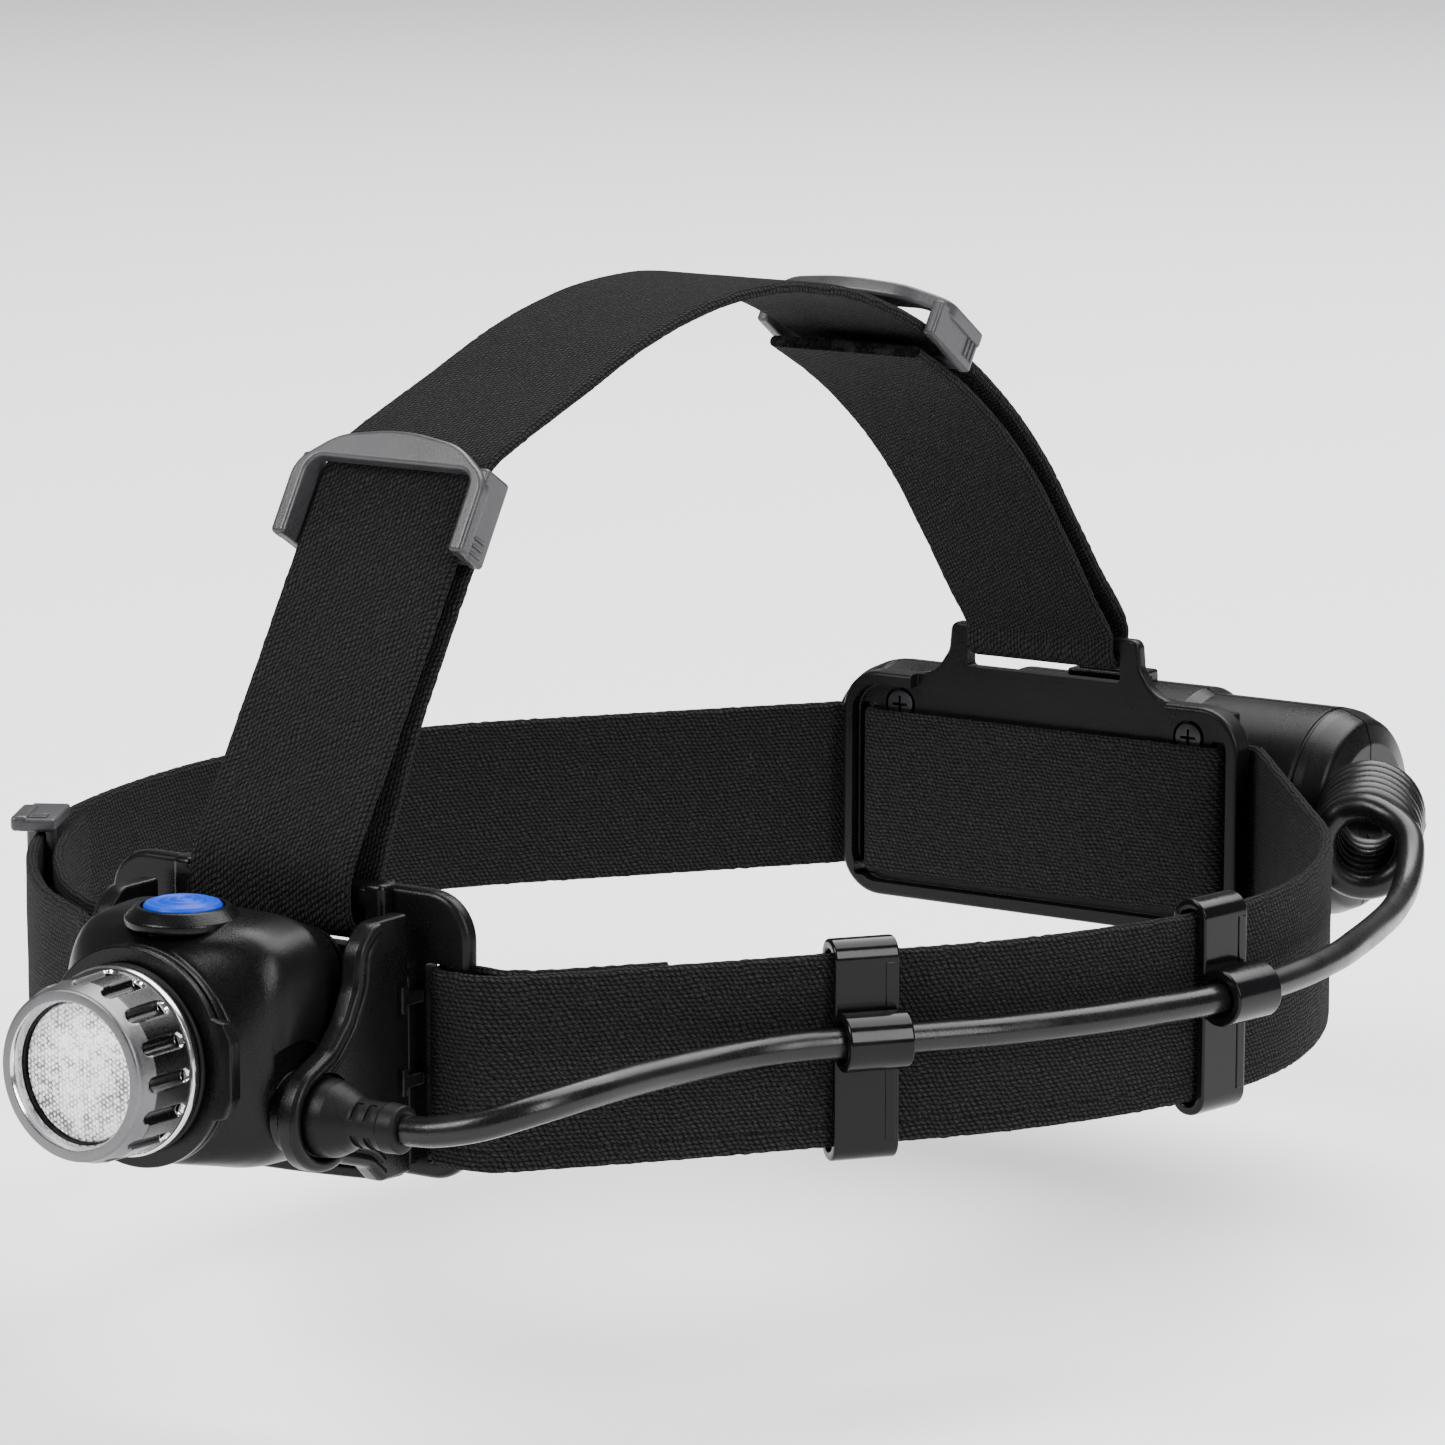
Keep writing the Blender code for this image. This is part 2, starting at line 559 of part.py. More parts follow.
def back_cover():
    rings = [squircle(HOUSING_REAR + GAP, 14.2, -7.6, 17.4, 5),
             squircle(HOUSING_REAR + 1.0, 13.8, -7.2, 17.0, 5),
             squircle(HOUSING_REAR + 1.6, 12.8, -6.2, 16.0, 5)]
    cover = loft("back_cover", rings, BLACK_PLASTIC)
    for i, (x, z) in enumerate(CORNERS, 1):
        cut_rod(cover, 1.0, (x, HOUSING_REAR - 1, z), (x, HOUSING_REAR + 3, z), 12)
        cut_rod(cover, 1.9, (x, HOUSING_REAR + 0.9, z), (x, HOUSING_REAR + 3, z), 16)
        shank = [(0, 5.0), (0.7, 5.0), (0.7, -1.0), (1.6, -1.0), (1.6, -1.7), (0, -1.7)]
        turned(f"back_cover_screw_{i}", shank, (x, HOUSING_REAR + GAP, z), FORWARD, STEEL, 14)


def collar_ring():
    profile = [(10.3, 129.6), (10.9, 129.6), (10.9, 126.0), (13.9, 126.0), (13.9, 123.6), (10.3, 123.6)]
    collar = turned("collar_ring", profile, OPTICAL_AXIS, FORWARD, BLACK_PLASTIC, closed=True)
    for side in (-1, 1):
        near, far = sorted((side * 12.6, side * 15.3))
        ear = block("ear", (near, -126.0, LAMP_Z - 5.2), (far, -123.6, LAMP_Z + 5.2), BLACK_PLASTIC)
        join(collar, ear)
    ring = [(11.5 + r, 126.8 + a) for r, a in reversed(arc((0, 0), 0.45, 0, 300, 5))]
    turned("bezel_o_ring", ring, OPTICAL_AXIS, FORWARD, BLACK_RUBBER, closed=True)


def focus_bezel():
    """Bezel with grip flutes, lofted as rings of varying radius round the optical axis."""
    flutes, samples = 16, 3
    count = flutes * samples

    def ring(radius, along, depth=0.0):
        points = []
        for i in range(count):
            a = 2 * math.pi * i / count
            r = radius - (depth if i % samples == 0 else 0.0)
            points.append((r * math.cos(a), -along, LAMP_Z + r * math.sin(a)))
        return points

    outside = [ring(10.3, 138.0), ring(10.9, 137.6), ring(11.1, 135.4), ring(11.4, 134.8, 0.9),
               ring(11.7, 129.8, 0.9), ring(11.9, 129.2), ring(11.9, 127.7)]
    inside = [ring(11.2, 127.7), ring(11.2, 130.0), ring(9.6, 130.0), ring(9.6, 136.3), ring(8.9, 136.3)]
    return loft("focus_bezel", outside + inside, GREY_ALUMINIUM, closed=True)


def light_engine():
    sink = [(0, 121.0), (6.6, 121.0), (6.6, 128.6), (8.0, 128.6), (8.0, 123.6), (9.6, 123.6), (9.6, 112.0),
            (0, 112.0)]
    turned("heat_sink", sink, OPTICAL_AXIS, FORWARD, PLAIN_ALUMINIUM, 32)
    rod("led_board", 6.2, (0, -121.3, LAMP_Z), (0, -122.3, LAMP_Z), BOARD_GREEN, 28)
    dome = [(r, 123.4 + a) for r, a in reversed(arc((0, 0), 1.5, 0, 90, 5))]
    dome[0] = (0.0, dome[0][1])
    turned("led_emitter", dome + [(2.0, 123.4), (2.0, 122.6), (0, 122.6)], OPTICAL_AXIS, FORWARD,
           EMITTER_YELLOW, 20)
    carrier = [(8.8, 136.0), (9.3, 136.0), (9.3, 127.4), (8.3, 127.4), (8.3, 132.3), (8.8, 132.3)]
    turned("lens_carrier", carrier, OPTICAL_AXIS, FORWARD, BLACK_PLASTIC, closed=True)
    lens = [(0, 135.9), (8.5, 135.6), (8.5, 132.6), (7.6, 132.6), (0, 131.6)]
    turned("lens", lens, OPTICAL_AXIS, FORWARD, CLEAR_PLASTIC)
    block("driver_board", (-7.2, -118.0, 14.2), (7.2, -105.5, 15.1), BOARD_GREEN)
    switch = block("tactile_switch", (-3, BUTTON_Y - 3, 15.4), (3, BUTTON_Y + 3, 16.8), STEEL)
    join(switch, rod("plunger", 1.5, (0, BUTTON_Y, 16.5), (0, BUTTON_Y, 17.2), STEEL, 16))
    seal = [(1.7, 17.9), (5.0, 17.9), (5.0, 17.4), (1.7, 17.4)]
    turned("button_seal", seal, (0, BUTTON_Y, 0), Z, BLACK_RUBBER, 28, closed=True)
    cap = [(0, 22.3), (3.0, 22.2), (4.6, 21.8), (4.95, 21.3), (4.95, 19.0), (1.4, 19.0), (1.4, 18.1),
           (0, 18.1)]
    turned("power_button", cap, (0, BUTTON_Y, 0), Z, BLUE_RUBBER, 36)


def head_strain_relief():
    profile = [(0, 33.0), (2.3, 33.0), (2.8, 32.6), (2.9, 27.6), (3.6, 25.8), (4.6, 23.6), (4.9, 21.8),
               (4.9, 20.9), (2.3, 20.9), (2.3, 15.5), (0, 15.5)]
    turned("head_strain_relief", profile, (0, PIVOT_Y, PIVOT_Z), X, BLACK_RUBBER, 28)
    screw = [(0, 22.4), (3.6, 22.4), (4.4, 21.9), (4.4, 21.2), (3.1, 21.2), (3.1, 18.4), (1.2, 18.4),
             (1.2, 12.5), (0, 12.5)]
    turned("pivot_screw", screw, (0, PIVOT_Y, PIVOT_Z), -X, STEEL, 24)


# ---- rear bracket and battery case --------------------------------------------------------------
PLATE_LOW, PLATE_HIGH = -16.0, 18.4
SCREW_X, SCREW_Z = 25.0, 13.4


def rear_bracket():
    rim_face = REAR_Y[0] - 1.9
    outline = rounded_rectangle(34.3, PLATE_LOW, PLATE_HIGH, 6.5)
    plate = slab("rear_bracket", outline, rim_face, REAR_Y[1], "Y", BLACK_PLASTIC)
    gusset = [(-22.0, 15.0), (22.0, 15.0), (22.0, 18.0), (15.8, 26.9), (-15.8, 26.9), (-22.0, 18.0)]
    join(plate, slab("top_loop", gusset, *REAR_Y, "Y", BLACK_PLASTIC))
    pocket = rounded_rectangle(32.4, PLATE_LOW + 2, PLATE_HIGH - 2, 4.5)
    cut(plate, slab("pocket", pocket, rim_face - 1, REAR_Y[0], "Y", collection=cutters))
    cut_block(plate, (-22.0, rim_face - 1, 16.0), (22.0, REAR_Y[0], 19.0))
    for side in (-1, 1):
        near, far = sorted((side * 28.8, side * 32.0))
        cut_block(plate, (near, 86, -13.2), (far, 93, 13.2))
        cut_rod(plate, 1.4, (side * SCREW_X, 86, SCREW_Z), (side * SCREW_X, 93, SCREW_Z), 16)
        cut_rod(plate, 2.6, (side * SCREW_X, 86, SCREW_Z), (side * SCREW_X, REAR_Y[0] + 1.1, SCREW_Z), 24)
        name = "rear_bracket_screw_" + ("left" if side > 0 else "right")
        shank = [(0, 98.6), (1.0, 98.6), (1.0, 89.8), (2.2, 89.8), (2.2, 88.8), (0, 88.8)]
        turned(name, shank, (side * SCREW_X, 0, SCREW_Z), Y, STEEL, 18)
    cut_block(plate, (-13.2, 86, 20.3), (13.2, 93, REAR_BAR_Z))


def case_body(name):
    """The whole case as one turned shell, before it is split into tray and door."""
    half = [(11.0, CASE_HALF), (13.8, CASE_HALF - 1.2), (15.2, CASE_HALF - 4), (CASE_RADIUS, CASE_HALF - 7),
            (CASE_RADIUS, 17.2), (CASE_RADIUS + 0.9, 16.0)]
    profile = [(0, CASE_HALF)] + half + [(r, -a) for r, a in reversed(half)] + [(0, -CASE_HALF)]
    return turned(name, profile, (0, CASE_Y, CASE_Z), X, BLACK_PLASTIC, 36)


def hollow(case):
    half = [(0, 42.0), (10.5, 42.0), (12.8, 40.6), (13.7, 37.5)]
    profile = half + [(r, -a) for r, a in reversed(half)]
    cut(case, turned(case.name + "_inside", profile, (0, CASE_Y, CASE_Z), X, steps=36, collection=cutters))


def battery_tray():
    tray = case_body("battery_tray")
    join(tray, block("mount_block", (-20, REAR_Y[1] + GAP, -11.0), (20, 98, 9.5), BLACK_PLASTIC))
    for side in (-1, 1):
        boss = block("boss", (side * SCREW_X - 3, REAR_Y[1] + GAP, SCREW_Z - 3),
                     (side * SCREW_X + 3, 103, SCREW_Z + 2.6), BLACK_PLASTIC)
        join(tray, boss)
        near, far = sorted((side * 12.0, side * 20.0))
        knuckle = rod("tray_knuckle", 1.9, (near, CASE_Y, DOOR_HINGE_Z), (far, CASE_Y, DOOR_HINGE_Z),
                      BLACK_PLASTIC, 16)
        web = block("tray_web", (near, CASE_Y - 5.0, DOOR_HINGE_Z - 1.2), (far, CASE_Y - 1.0, -13.5),
                    BLACK_PLASTIC)
        join(tray, knuckle, web)
    hollow(tray)
    knuckle_top, knuckle_back = -15.9, CASE_Y + 2.2
    cut_block(tray, (-60, CASE_Y - GAP / 2, knuckle_top), (60, 140, 30))
    cut_block(tray, (-60, knuckle_back, -30), (60, 140, knuckle_top + 0.9))
    for side in (-1, 1):
        cut_rod(tray, 1.4, (side * SCREW_X, 91, SCREW_Z), (side * SCREW_X, 99.4, SCREW_Z), 16)
    cut_rod(tray, 1.0, (-24, CASE_Y, DOOR_HINGE_Z), (24, CASE_Y, DOOR_HINGE_Z), 12)
    cut_rod(tray, 2.5, (38, RELIEF_Y, CASE_Z), (48, RELIEF_Y, CASE_Z), 20)


def battery_door():
    door = case_body("battery_door")
    knuckle = rod("door_knuckle", 1.9, (-11.7, CASE_Y, DOOR_HINGE_Z), (11.7, CASE_Y, DOOR_HINGE_Z),
                  BLACK_PLASTIC, 16)
    web = block("door_web", (-11.7, CASE_Y + 0.6, DOOR_HINGE_Z - 1.2), (11.7, CASE_Y + 5.0, -13.5),
                BLACK_PLASTIC)
    hollow(door)
    cut_block(door, (-60, 80, -30), (60, CASE_Y + GAP / 2, 30))
    latch = block("latch", (-6, CASE_Y - 4.0, CASE_Z + CASE_RADIUS + 1.2),
                  (6, CASE_Y + 3.0, CASE_Z + CASE_RADIUS + 2.4), BLACK_PLASTIC)
    latch_foot = block("latch_foot", (-6, CASE_Y + 0.6, CASE_Z + CASE_RADIUS - 1.4),
                       (6, CASE_Y + 3.0, CASE_Z + CASE_RADIUS + 1.8), BLACK_PLASTIC)
    join(door, knuckle, web, latch_foot, latch)
    cut_rod(door, 1.0, (-13, CASE_Y, DOOR_HINGE_Z), (13, CASE_Y, DOOR_HINGE_Z), 12)


def power_pieces():
    rod("door_hinge_pin", 0.7, (-19.8, CASE_Y, DOOR_HINGE_Z), (19.8, CASE_Y, DOOR_HINGE_Z), STEEL, 12)
    nub = CELL_LENGTH / 2
    cell = [(0, nub), (3.0, nub), (3.0, nub - 1.2), (CELL_RADIUS - 0.4, nub - 1.2), (CELL_RADIUS, nub - 1.6),
            (CELL_RADIUS, -nub + 0.4), (CELL_RADIUS - 0.4, -nub), (0, -nub)]
    turned("battery_cell", cell, (0, CASE_Y, CASE_Z), X, CELL_WRAP, 28)
    for name, side, inner in (("positive_contact", 1, 32.9), ("negative_contact", -1, 38.0)):
        near, far = sorted((side * inner, side * (inner + 0.8)))
        block(name, (near, CASE_Y - 6, CASE_Z - 6), (far, CASE_Y + 6, CASE_Z + 6), STEEL)
    turns, per_turn = 3, 10
    spiral = []
    for i in range(turns * per_turn + 1):
        a, share = 2 * math.pi * i / per_turn, i / (turns * per_turn)
        radius = 5.0 - 2.4 * share
        spiral.append((-37.3 + 4.0 * share, CASE_Y + radius * math.cos(a), CASE_Z + radius * math.sin(a)))
    wire("contact_spring", spiral, 0.4, STEEL)
    block("case_board", (35.6, CASE_Y - 11.0, CASE_Z - 7), (36.8, CASE_Y - 2.0, CASE_Z + 7), BOARD_GREEN)
    ring = slab("door_gasket", rounded_rectangle(41.0, CASE_Z - 13.2, CASE_Z + 13.2, 5.0), CASE_Y - 0.8,
                CASE_Y + 0.8, "Y", BLACK_RUBBER)
    hole = rounded_rectangle(40.0, CASE_Z - 12.2, CASE_Z + 12.2, 4.0)
    cut(ring, slab("gasket_hole", hole, CASE_Y - 2, CASE_Y + 2, "Y", collection=cutters))
    relief = [(0, 50.9), (2.3, 50.9), (2.8, 50.4), (3.1, 46.6), (3.8, 45.8), (3.8, 44.3), (2.2, 44.3),
              (2.2, 41.0), (0, 41.0)]
    turned("case_strain_relief", relief, (0, RELIEF_Y, CASE_Z), X, BLACK_RUBBER, 24)


# ---- cable --------------------------------------------------------------------------------------
def wire(name, points, radius, finish):
    """A curve through points, as a round tube with closed ends."""
    curve = bpy.data.curves.new(name, "CURVE")
    curve.dimensions = "3D"
    spline = curve.splines.new("POLY")
    spline.points.add(len(points) - 1)
    for slot, point in zip(spline.points, points):
        slot.co = (*(Vector(point) * MM), 1.0)
    curve.bevel_depth = radius * MM
    curve.bevel_resolution = 2
    curve.use_fill_caps = True
    return place(name, curve, finish)


# the lead from the lamp, bending back to run beside the headband, through both clips, to the coil
LEAD_ROUTE = [(33.3, -114.5, -3.0), (37.5, -114.4, -2.6), (43.0, -112.8, -1.4), (47.8, -108.6, 0.3),
              (50.6, -102.0, 1.3), (52.0, -94.0, 1.6), (53.2, -85.0, 1.5), (55.2, -76.8, 1.6),
              (58.1, -70.8, 1.8), (61.8, -66.0, 2.0), (65.9, -60.6, 2.0), (70.8, -54.3, 2.0),
              (76.8, -45.8, 2.0), (82.9, -34.5, 2.0), (87.9, -21.8, 2.0), (89.6, -15.6, 2.0),
              (90.8, -9.0, 2.0), (91.3, -3.0, 2.0), (91.4, 6.0, 2.1), (90.2, 16.0, 2.1), (87.7, 26.0, 1.9),
              (84.4, 37.0, 1.4), (81.2, 47.5, 1.3), (77.8, 57.3, 2.1), (74.4, 65.6, 4.6),
              (71.6, 70.0, 7.2), (67.9, 71.9, 8.9)]
# the tail from the coil into the battery case
TAIL_ROUTE = [(55.6, 101.75, 1.5), (54.6, 103.2, 1.2), (53.1, 104.15, 0.7), (51.2, RELIEF_Y, CASE_Z)]


def cable():
    wire("lamp_cable", smooth(LEAD_ROUTE, 5.0), CABLE_RADIUS, CABLE_JACKET)
    wire("case_cable", smooth(TAIL_ROUTE, 2.0), CABLE_RADIUS, CABLE_JACKET)
    rod("cable_coil", COIL_RADIUS, COIL_START - COIL_AXIS * 2, COIL_START + COIL_AXIS * COIL_LENGTH,
        CABLE_JACKET, 20)


straps_and_sliders()
front_bracket()
tilt_cradle()
lamp_housing()
back_cover()
collar_ring()
focus_bezel()
light_engine()
head_strain_relief()
rear_bracket()
battery_tray()
battery_door()
power_pieces()
cable()
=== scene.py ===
"""Looks of the headlamp: knitted webbing, moulded shells, a machined bezel, clips and the coiled lead.

Lengths are in millimetres until a mesh is made, and the axes are the frame's: the lamp faces -Y, the wearer's
left is +X and +Z is up.
"""
import math

import bmesh
import bpy
from mathutils import Matrix, Vector, noise
from mathutils.geometry import interpolate_bezier


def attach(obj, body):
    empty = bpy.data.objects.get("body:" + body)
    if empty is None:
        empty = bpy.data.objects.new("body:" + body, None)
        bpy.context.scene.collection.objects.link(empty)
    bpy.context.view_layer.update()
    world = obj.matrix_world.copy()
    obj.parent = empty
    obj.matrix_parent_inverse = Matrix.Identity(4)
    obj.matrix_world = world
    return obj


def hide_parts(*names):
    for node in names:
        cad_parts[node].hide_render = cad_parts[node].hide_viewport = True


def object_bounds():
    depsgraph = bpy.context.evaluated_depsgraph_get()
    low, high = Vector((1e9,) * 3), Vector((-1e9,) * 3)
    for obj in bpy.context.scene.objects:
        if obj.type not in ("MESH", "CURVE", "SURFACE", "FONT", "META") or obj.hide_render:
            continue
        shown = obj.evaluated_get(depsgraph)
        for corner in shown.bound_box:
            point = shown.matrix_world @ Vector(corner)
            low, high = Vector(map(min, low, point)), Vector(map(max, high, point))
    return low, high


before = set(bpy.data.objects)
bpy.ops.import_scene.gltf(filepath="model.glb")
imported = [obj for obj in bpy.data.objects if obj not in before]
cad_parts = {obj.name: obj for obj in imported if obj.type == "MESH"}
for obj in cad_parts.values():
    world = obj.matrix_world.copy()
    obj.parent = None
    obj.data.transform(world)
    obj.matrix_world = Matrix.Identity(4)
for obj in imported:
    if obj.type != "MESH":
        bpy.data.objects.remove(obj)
cad_low, cad_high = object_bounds()

MM = 0.001
X, Y, Z = Vector((1, 0, 0)), Vector((0, 1, 0)), Vector((0, 0, 1))
FORWARD = -Y
LAMP_Z = 4.0
# The lens's domes lie in a hexagonal grid: their pitch, and the lean of its rows, the sine of 60 degrees.
DOME_PITCH, ROW_LEAN = 0.56, 0.866


# ---- outlines and curves ------------------------------------------------------------------------
def arc(centre, radius, start, end, count):
    """Points on a circle, with its angles in degrees."""
    angles = [math.radians(start + (end - start) * i / count) for i in range(count + 1)]
    return [Vector((centre[0] + radius * math.cos(a), centre[1] + radius * math.sin(a))) for a in angles]


def rounded(points, radius, closed=True, count=4):
    """The outline with round corners. A point's third number, if it has one, is its own radius."""
    result, last = [], len(points) - 1
    for i, point in enumerate(points):
        corner = Vector(point[:2])
        wanted = point[2] if len(point) > 2 else radius
        before = Vector(points[i - 1][:2]) - corner
        after = Vector(points[(i + 1) % len(points)][:2]) - corner
        opening = before.angle(after, math.pi)
        if wanted <= 0 or opening > math.radians(172) or (not closed and i in (0, last)):
            result.append(corner)
            continue
        reach = min(wanted / math.tan(opening / 2), 0.47 * before.length, 0.47 * after.length)
        before.normalize()
        after.normalize()
        centre = corner + (before + after).normalized() * reach / math.cos(opening / 2)
        start, end = corner + before * reach - centre, corner + after * reach - centre
        result += [centre + start.slerp(end, k / count) * start.length for k in range(count + 1)]
    return result


def rectangle(half_width, low, high):
    return [(-half_width, low), (half_width, low), (half_width, high), (-half_width, high)]


def anticlockwise(outline):
    area = sum(a.x * b.y - b.x * a.y for a, b in zip(outline, outline[1:] + outline[:1]))
    return outline if area > 0 else outline[::-1]


def inset(outline, distance):
    """An anticlockwise outline, moved inward."""
    result = []
    for i, point in enumerate(outline):
        before = (point - outline[i - 1]).normalized()
        after = (outline[(i + 1) % len(outline)] - point).normalized()
        normal = Vector((-before.y - after.y, before.x + after.x)).normalized()
        reach = distance / max(0.5, normal.dot(Vector((-before.y, before.x))))
        result.append(point + normal * reach)
    return result


def smooth(points, step=2.0):
    """An even polyline through the given points, by cubic pieces with matching slopes."""
    points = [Vector(p) for p in points]
    ends = [2 * points[0] - points[1]] + points + [2 * points[-1] - points[-2]]
    line = [points[0]]
    for i in range(1, len(ends) - 2):
        start, end = ends[i], ends[i + 1]
        handle_1 = start + (end - ends[i - 1]) / 6
        handle_2 = end - (ends[i + 2] - start) / 6
        count = max(2, round((end - start).length / step))
        line += interpolate_bezier(start, handle_1, handle_2, end, count + 1)[1:]
    return line


def beside(line, start_gap, end_gap, blend):
    """A flat line moved to its left by a gap that goes from start_gap to end_gap within blend millimetres."""
    result, travelled = [], 0.0
    for i, point in enumerate(line):
        along = line[min(i + 1, len(line) - 1)] - line[max(i - 1, 0)]
        forward = along.normalized()
        normal = Vector((-forward.y, forward.x))
        if i:
            travelled += (point - line[i - 1]).length
        share = min(travelled / blend, 1.0)
        share = share * share * (3 - 2 * share)
        moved = point + normal * (start_gap + (end_gap - start_gap) * share)
        if not result or (moved - result[-1]).dot(forward) > 0.25:
            result.append(moved)
    return result


def cut_to_length(line, length):
    travelled, kept = 0.0, [line[0]]
    for previous, point in zip(line, line[1:]):
        travelled += (point - previous).length
        if travelled > length:
            break
        kept.append(point)
    return kept


def length_of(line):
    return sum((b - a).length for a, b in zip(line, line[1:]))


# ---- solids -------------------------------------------------------------------------------------
def new_object(name, data):
    thing = bpy.data.objects.new(name, data)
    bpy.context.scene.collection.objects.link(thing)
    return thing


def to_object(name, bm):
    """Turn a bmesh drawn in millimetres into an object in metres."""
    bmesh.ops.recalc_face_normals(bm, faces=bm.faces)
    if bm.calc_volume(signed=True) < 0:
        bmesh.ops.reverse_faces(bm, faces=bm.faces)
    bmesh.ops.scale(bm, vec=(MM, MM, MM), verts=bm.verts)
    mesh = bpy.data.meshes.new(name)
    bm.to_mesh(mesh)
    bm.free()
    return new_object(name, mesh)


def skin(name, rings, closed=False):
    """Faces between rings of points. A lone point is a pole, and closed joins the last ring to the first."""
    bm = bmesh.new()
    loops = [[bm.verts.new(point) for point in ring] for ring in rings]
    pairs = list(zip(loops, loops[1:]))
    if closed:
        pairs.append((loops[-1], loops[0]))
    else:
        for end in (loops[0], loops[-1]):
            if len(end) > 1:
                bm.faces.new(end)
    for lower, upper in pairs:
        count = max(len(lower), len(upper))
        for i in range(count):
            j = (i + 1) % count
            corners = [lower[i % len(lower)], lower[j % len(lower)]]
            corners += [upper[j % len(upper)], upper[i % len(upper)]]
            bm.faces.new(list(dict.fromkeys(corners)))
    return to_object(name, bm)


def slab(name, outline, low, high, axis, edge=0.4, count=3):
    """A flat outline extruded along axis, with its edges rounded by edge."""
    outline = anticlockwise(list(outline))
    turns = [math.pi / 2 * i / count for i in range(count + 1)]
    levels = [(edge * (1 - math.sin(a)), low + edge * (1 - math.cos(a))) for a in turns]
    levels += [(edge * (1 - math.sin(a)), high - edge * (1 - math.cos(a))) for a in reversed(turns)]
    place = {
        "X": lambda p, h: (h, p.x, p.y),
        "Y": lambda p, h: (p.x, h, p.y),
        "Z": lambda p, h: (p.x, p.y, h),
    }[axis]
    return skin(name, [[place(p, h) for p in inset(outline, d)] for d, h in levels])


def block(low, high, edge=0.35, axis="Z"):
    """A box between two corners with all its edges rounded."""
    order = {"X": (1, 2, 0), "Y": (0, 2, 1), "Z": (0, 1, 2)}[axis]
    low, high = ([corner[i] for i in order] for corner in (low, high))
    outline = [(low[0], low[1]), (high[0], low[1]), (high[0], high[1]), (low[0], high[1])]
    return slab("block", rounded(outline, edge * 1.2, count=3), low[2], high[2], axis, edge)


def both_sides(x_near, x_far, y, z, edge=0.35, axis="Z"):
    """A block and its mirror image across the plane x = 0."""
    pairs = [(x_near, x_far), (-x_far, -x_near)]
    return [block((near, y[0], z[0]), (far, y[1], z[1]), edge, axis) for near, far in pairs]


def turned(name, profile, centre, axis, rounding=0.3, steps=72):
    """A turned piece. Its profile is (radius, distance along axis), closed if it starts off the axis."""
    hollow = profile[0][0] > 0
    turn = Vector(axis).to_track_quat("Z", "Y").to_matrix()
    rings = []
    for radius, along in rounded(profile, rounding, closed=hollow):
        count = steps if radius > 1e-6 else 1
        angles = [2 * math.pi * k / steps for k in range(count)]
        rings.append([Vector(centre) + turn @ Vector((radius * math.cos(a), radius * math.sin(a), along))
                      for a in angles])
    return skin(name, rings, closed=hollow)


def rod(radius, start, end, steps=40, edge=0.0):
    """A cylinder from start to end with rounded rims."""
    start, end = Vector(start), Vector(end)
    length = (end - start).length
    profile = [(0, length), (radius, length), (radius, 0), (0, 0)]
    return turned("rod", profile, start, end - start, edge, steps)


def rod_x(radius, near, far, at, steps=40, edge=0.0):
    """A cylinder along X from near to far, at a place (y, z)."""
    return rod(radius, (near, *at), (far, *at), steps, edge)


def rod_y(radius, near, far, at, steps=40):
    """A cylinder along Y from near to far, at a place (x, z)."""
    return rod(radius, (at[0], near, at[1]), (at[0], far, at[1]), steps)


def seat(centre, axis):
    """The transform that puts a shape drawn round +Z on an axis through centre."""
    return Matrix.Translation(Vector(centre) * MM) @ Vector(axis).to_track_quat("Z", "Y").to_matrix().to_4x4()


def sweep(name, path, across, section, ragged=0.0):
    """Carry a closed section along path: its first number runs along across, its second away from the path.

    The map "weave" holds the distance along the path and round the section, in millimetres.
    """
    bm = bmesh.new()
    weave = bm.loops.layers.uv.new("weave")
    count, travelled = len(section), 0.0
    girth = [0.0]
    for a, b in zip(section, section[1:] + section[:1]):
        girth.append(girth[-1] + (Vector(b) - Vector(a)).length)
    half = max(a for a, b in section)
    rings = []
    for i, point in enumerate(path):
        along = (path[min(i + 1, len(path) - 1)] - path[max(i - 1, 0)]).normalized()
        outward = across.cross(along)
        if i:
            travelled += (point - path[i - 1]).length
        ring = []
        for a, b in section:
            side = math.copysign(1, a)
            loose = ragged * noise.noise((travelled * 0.9, side * 7, 0)) * (abs(a) / half) ** 3
            swell = ragged * 0.6 * noise.noise((travelled * 0.12, a * 0.12, math.copysign(3, b)))
            place = point + across * (a + side * loose) + outward * (b + math.copysign(swell, b))
            ring.append(bm.verts.new(place))
        rings.append((ring, travelled))
    for end in (rings[0][0], rings[-1][0]):
        bm.faces.new(end)
    for (lower, low_at), (upper, high_at) in zip(rings, rings[1:]):
        for i in range(count):
            j = (i + 1) % count
            face = bm.faces.new((lower[i], lower[j], upper[j], upper[i]))
            start, end = girth[i:i + 2]
            corners = ((low_at, start), (low_at, end), (high_at, end), (high_at, start))
            for loop, corner in zip(face.loops, corners):
                loop[weave].uv = corner
    return to_object(name, bm)


def bead(path, across, radius, flat=1.0, sides=12):
    """A round rim that follows path."""
    angles = [2 * math.pi * i / sides for i in range(sides)]
    return sweep("bead", path, across, [(radius * flat * math.cos(a), radius * math.sin(a)) for a in angles])


def evaluated(thing):
    return bpy.data.meshes.new_from_object(thing.evaluated_get(bpy.context.evaluated_depsgraph_get()))


def combine(thing, join=(), cut=()):
    """Join shapes to a piece, cut others away, and remove them."""
    for operation, tools in (("UNION", join), ("DIFFERENCE", cut)):
        for tool in tools:
            step = thing.modifiers.new(operation, "BOOLEAN")
            step.operation, step.solver, step.object = operation, "MANIFOLD", tool
    thing.data = evaluated(thing)
    thing.modifiers.clear()
    for tool in (*join, *cut):
        bpy.data.objects.remove(tool)
    return thing


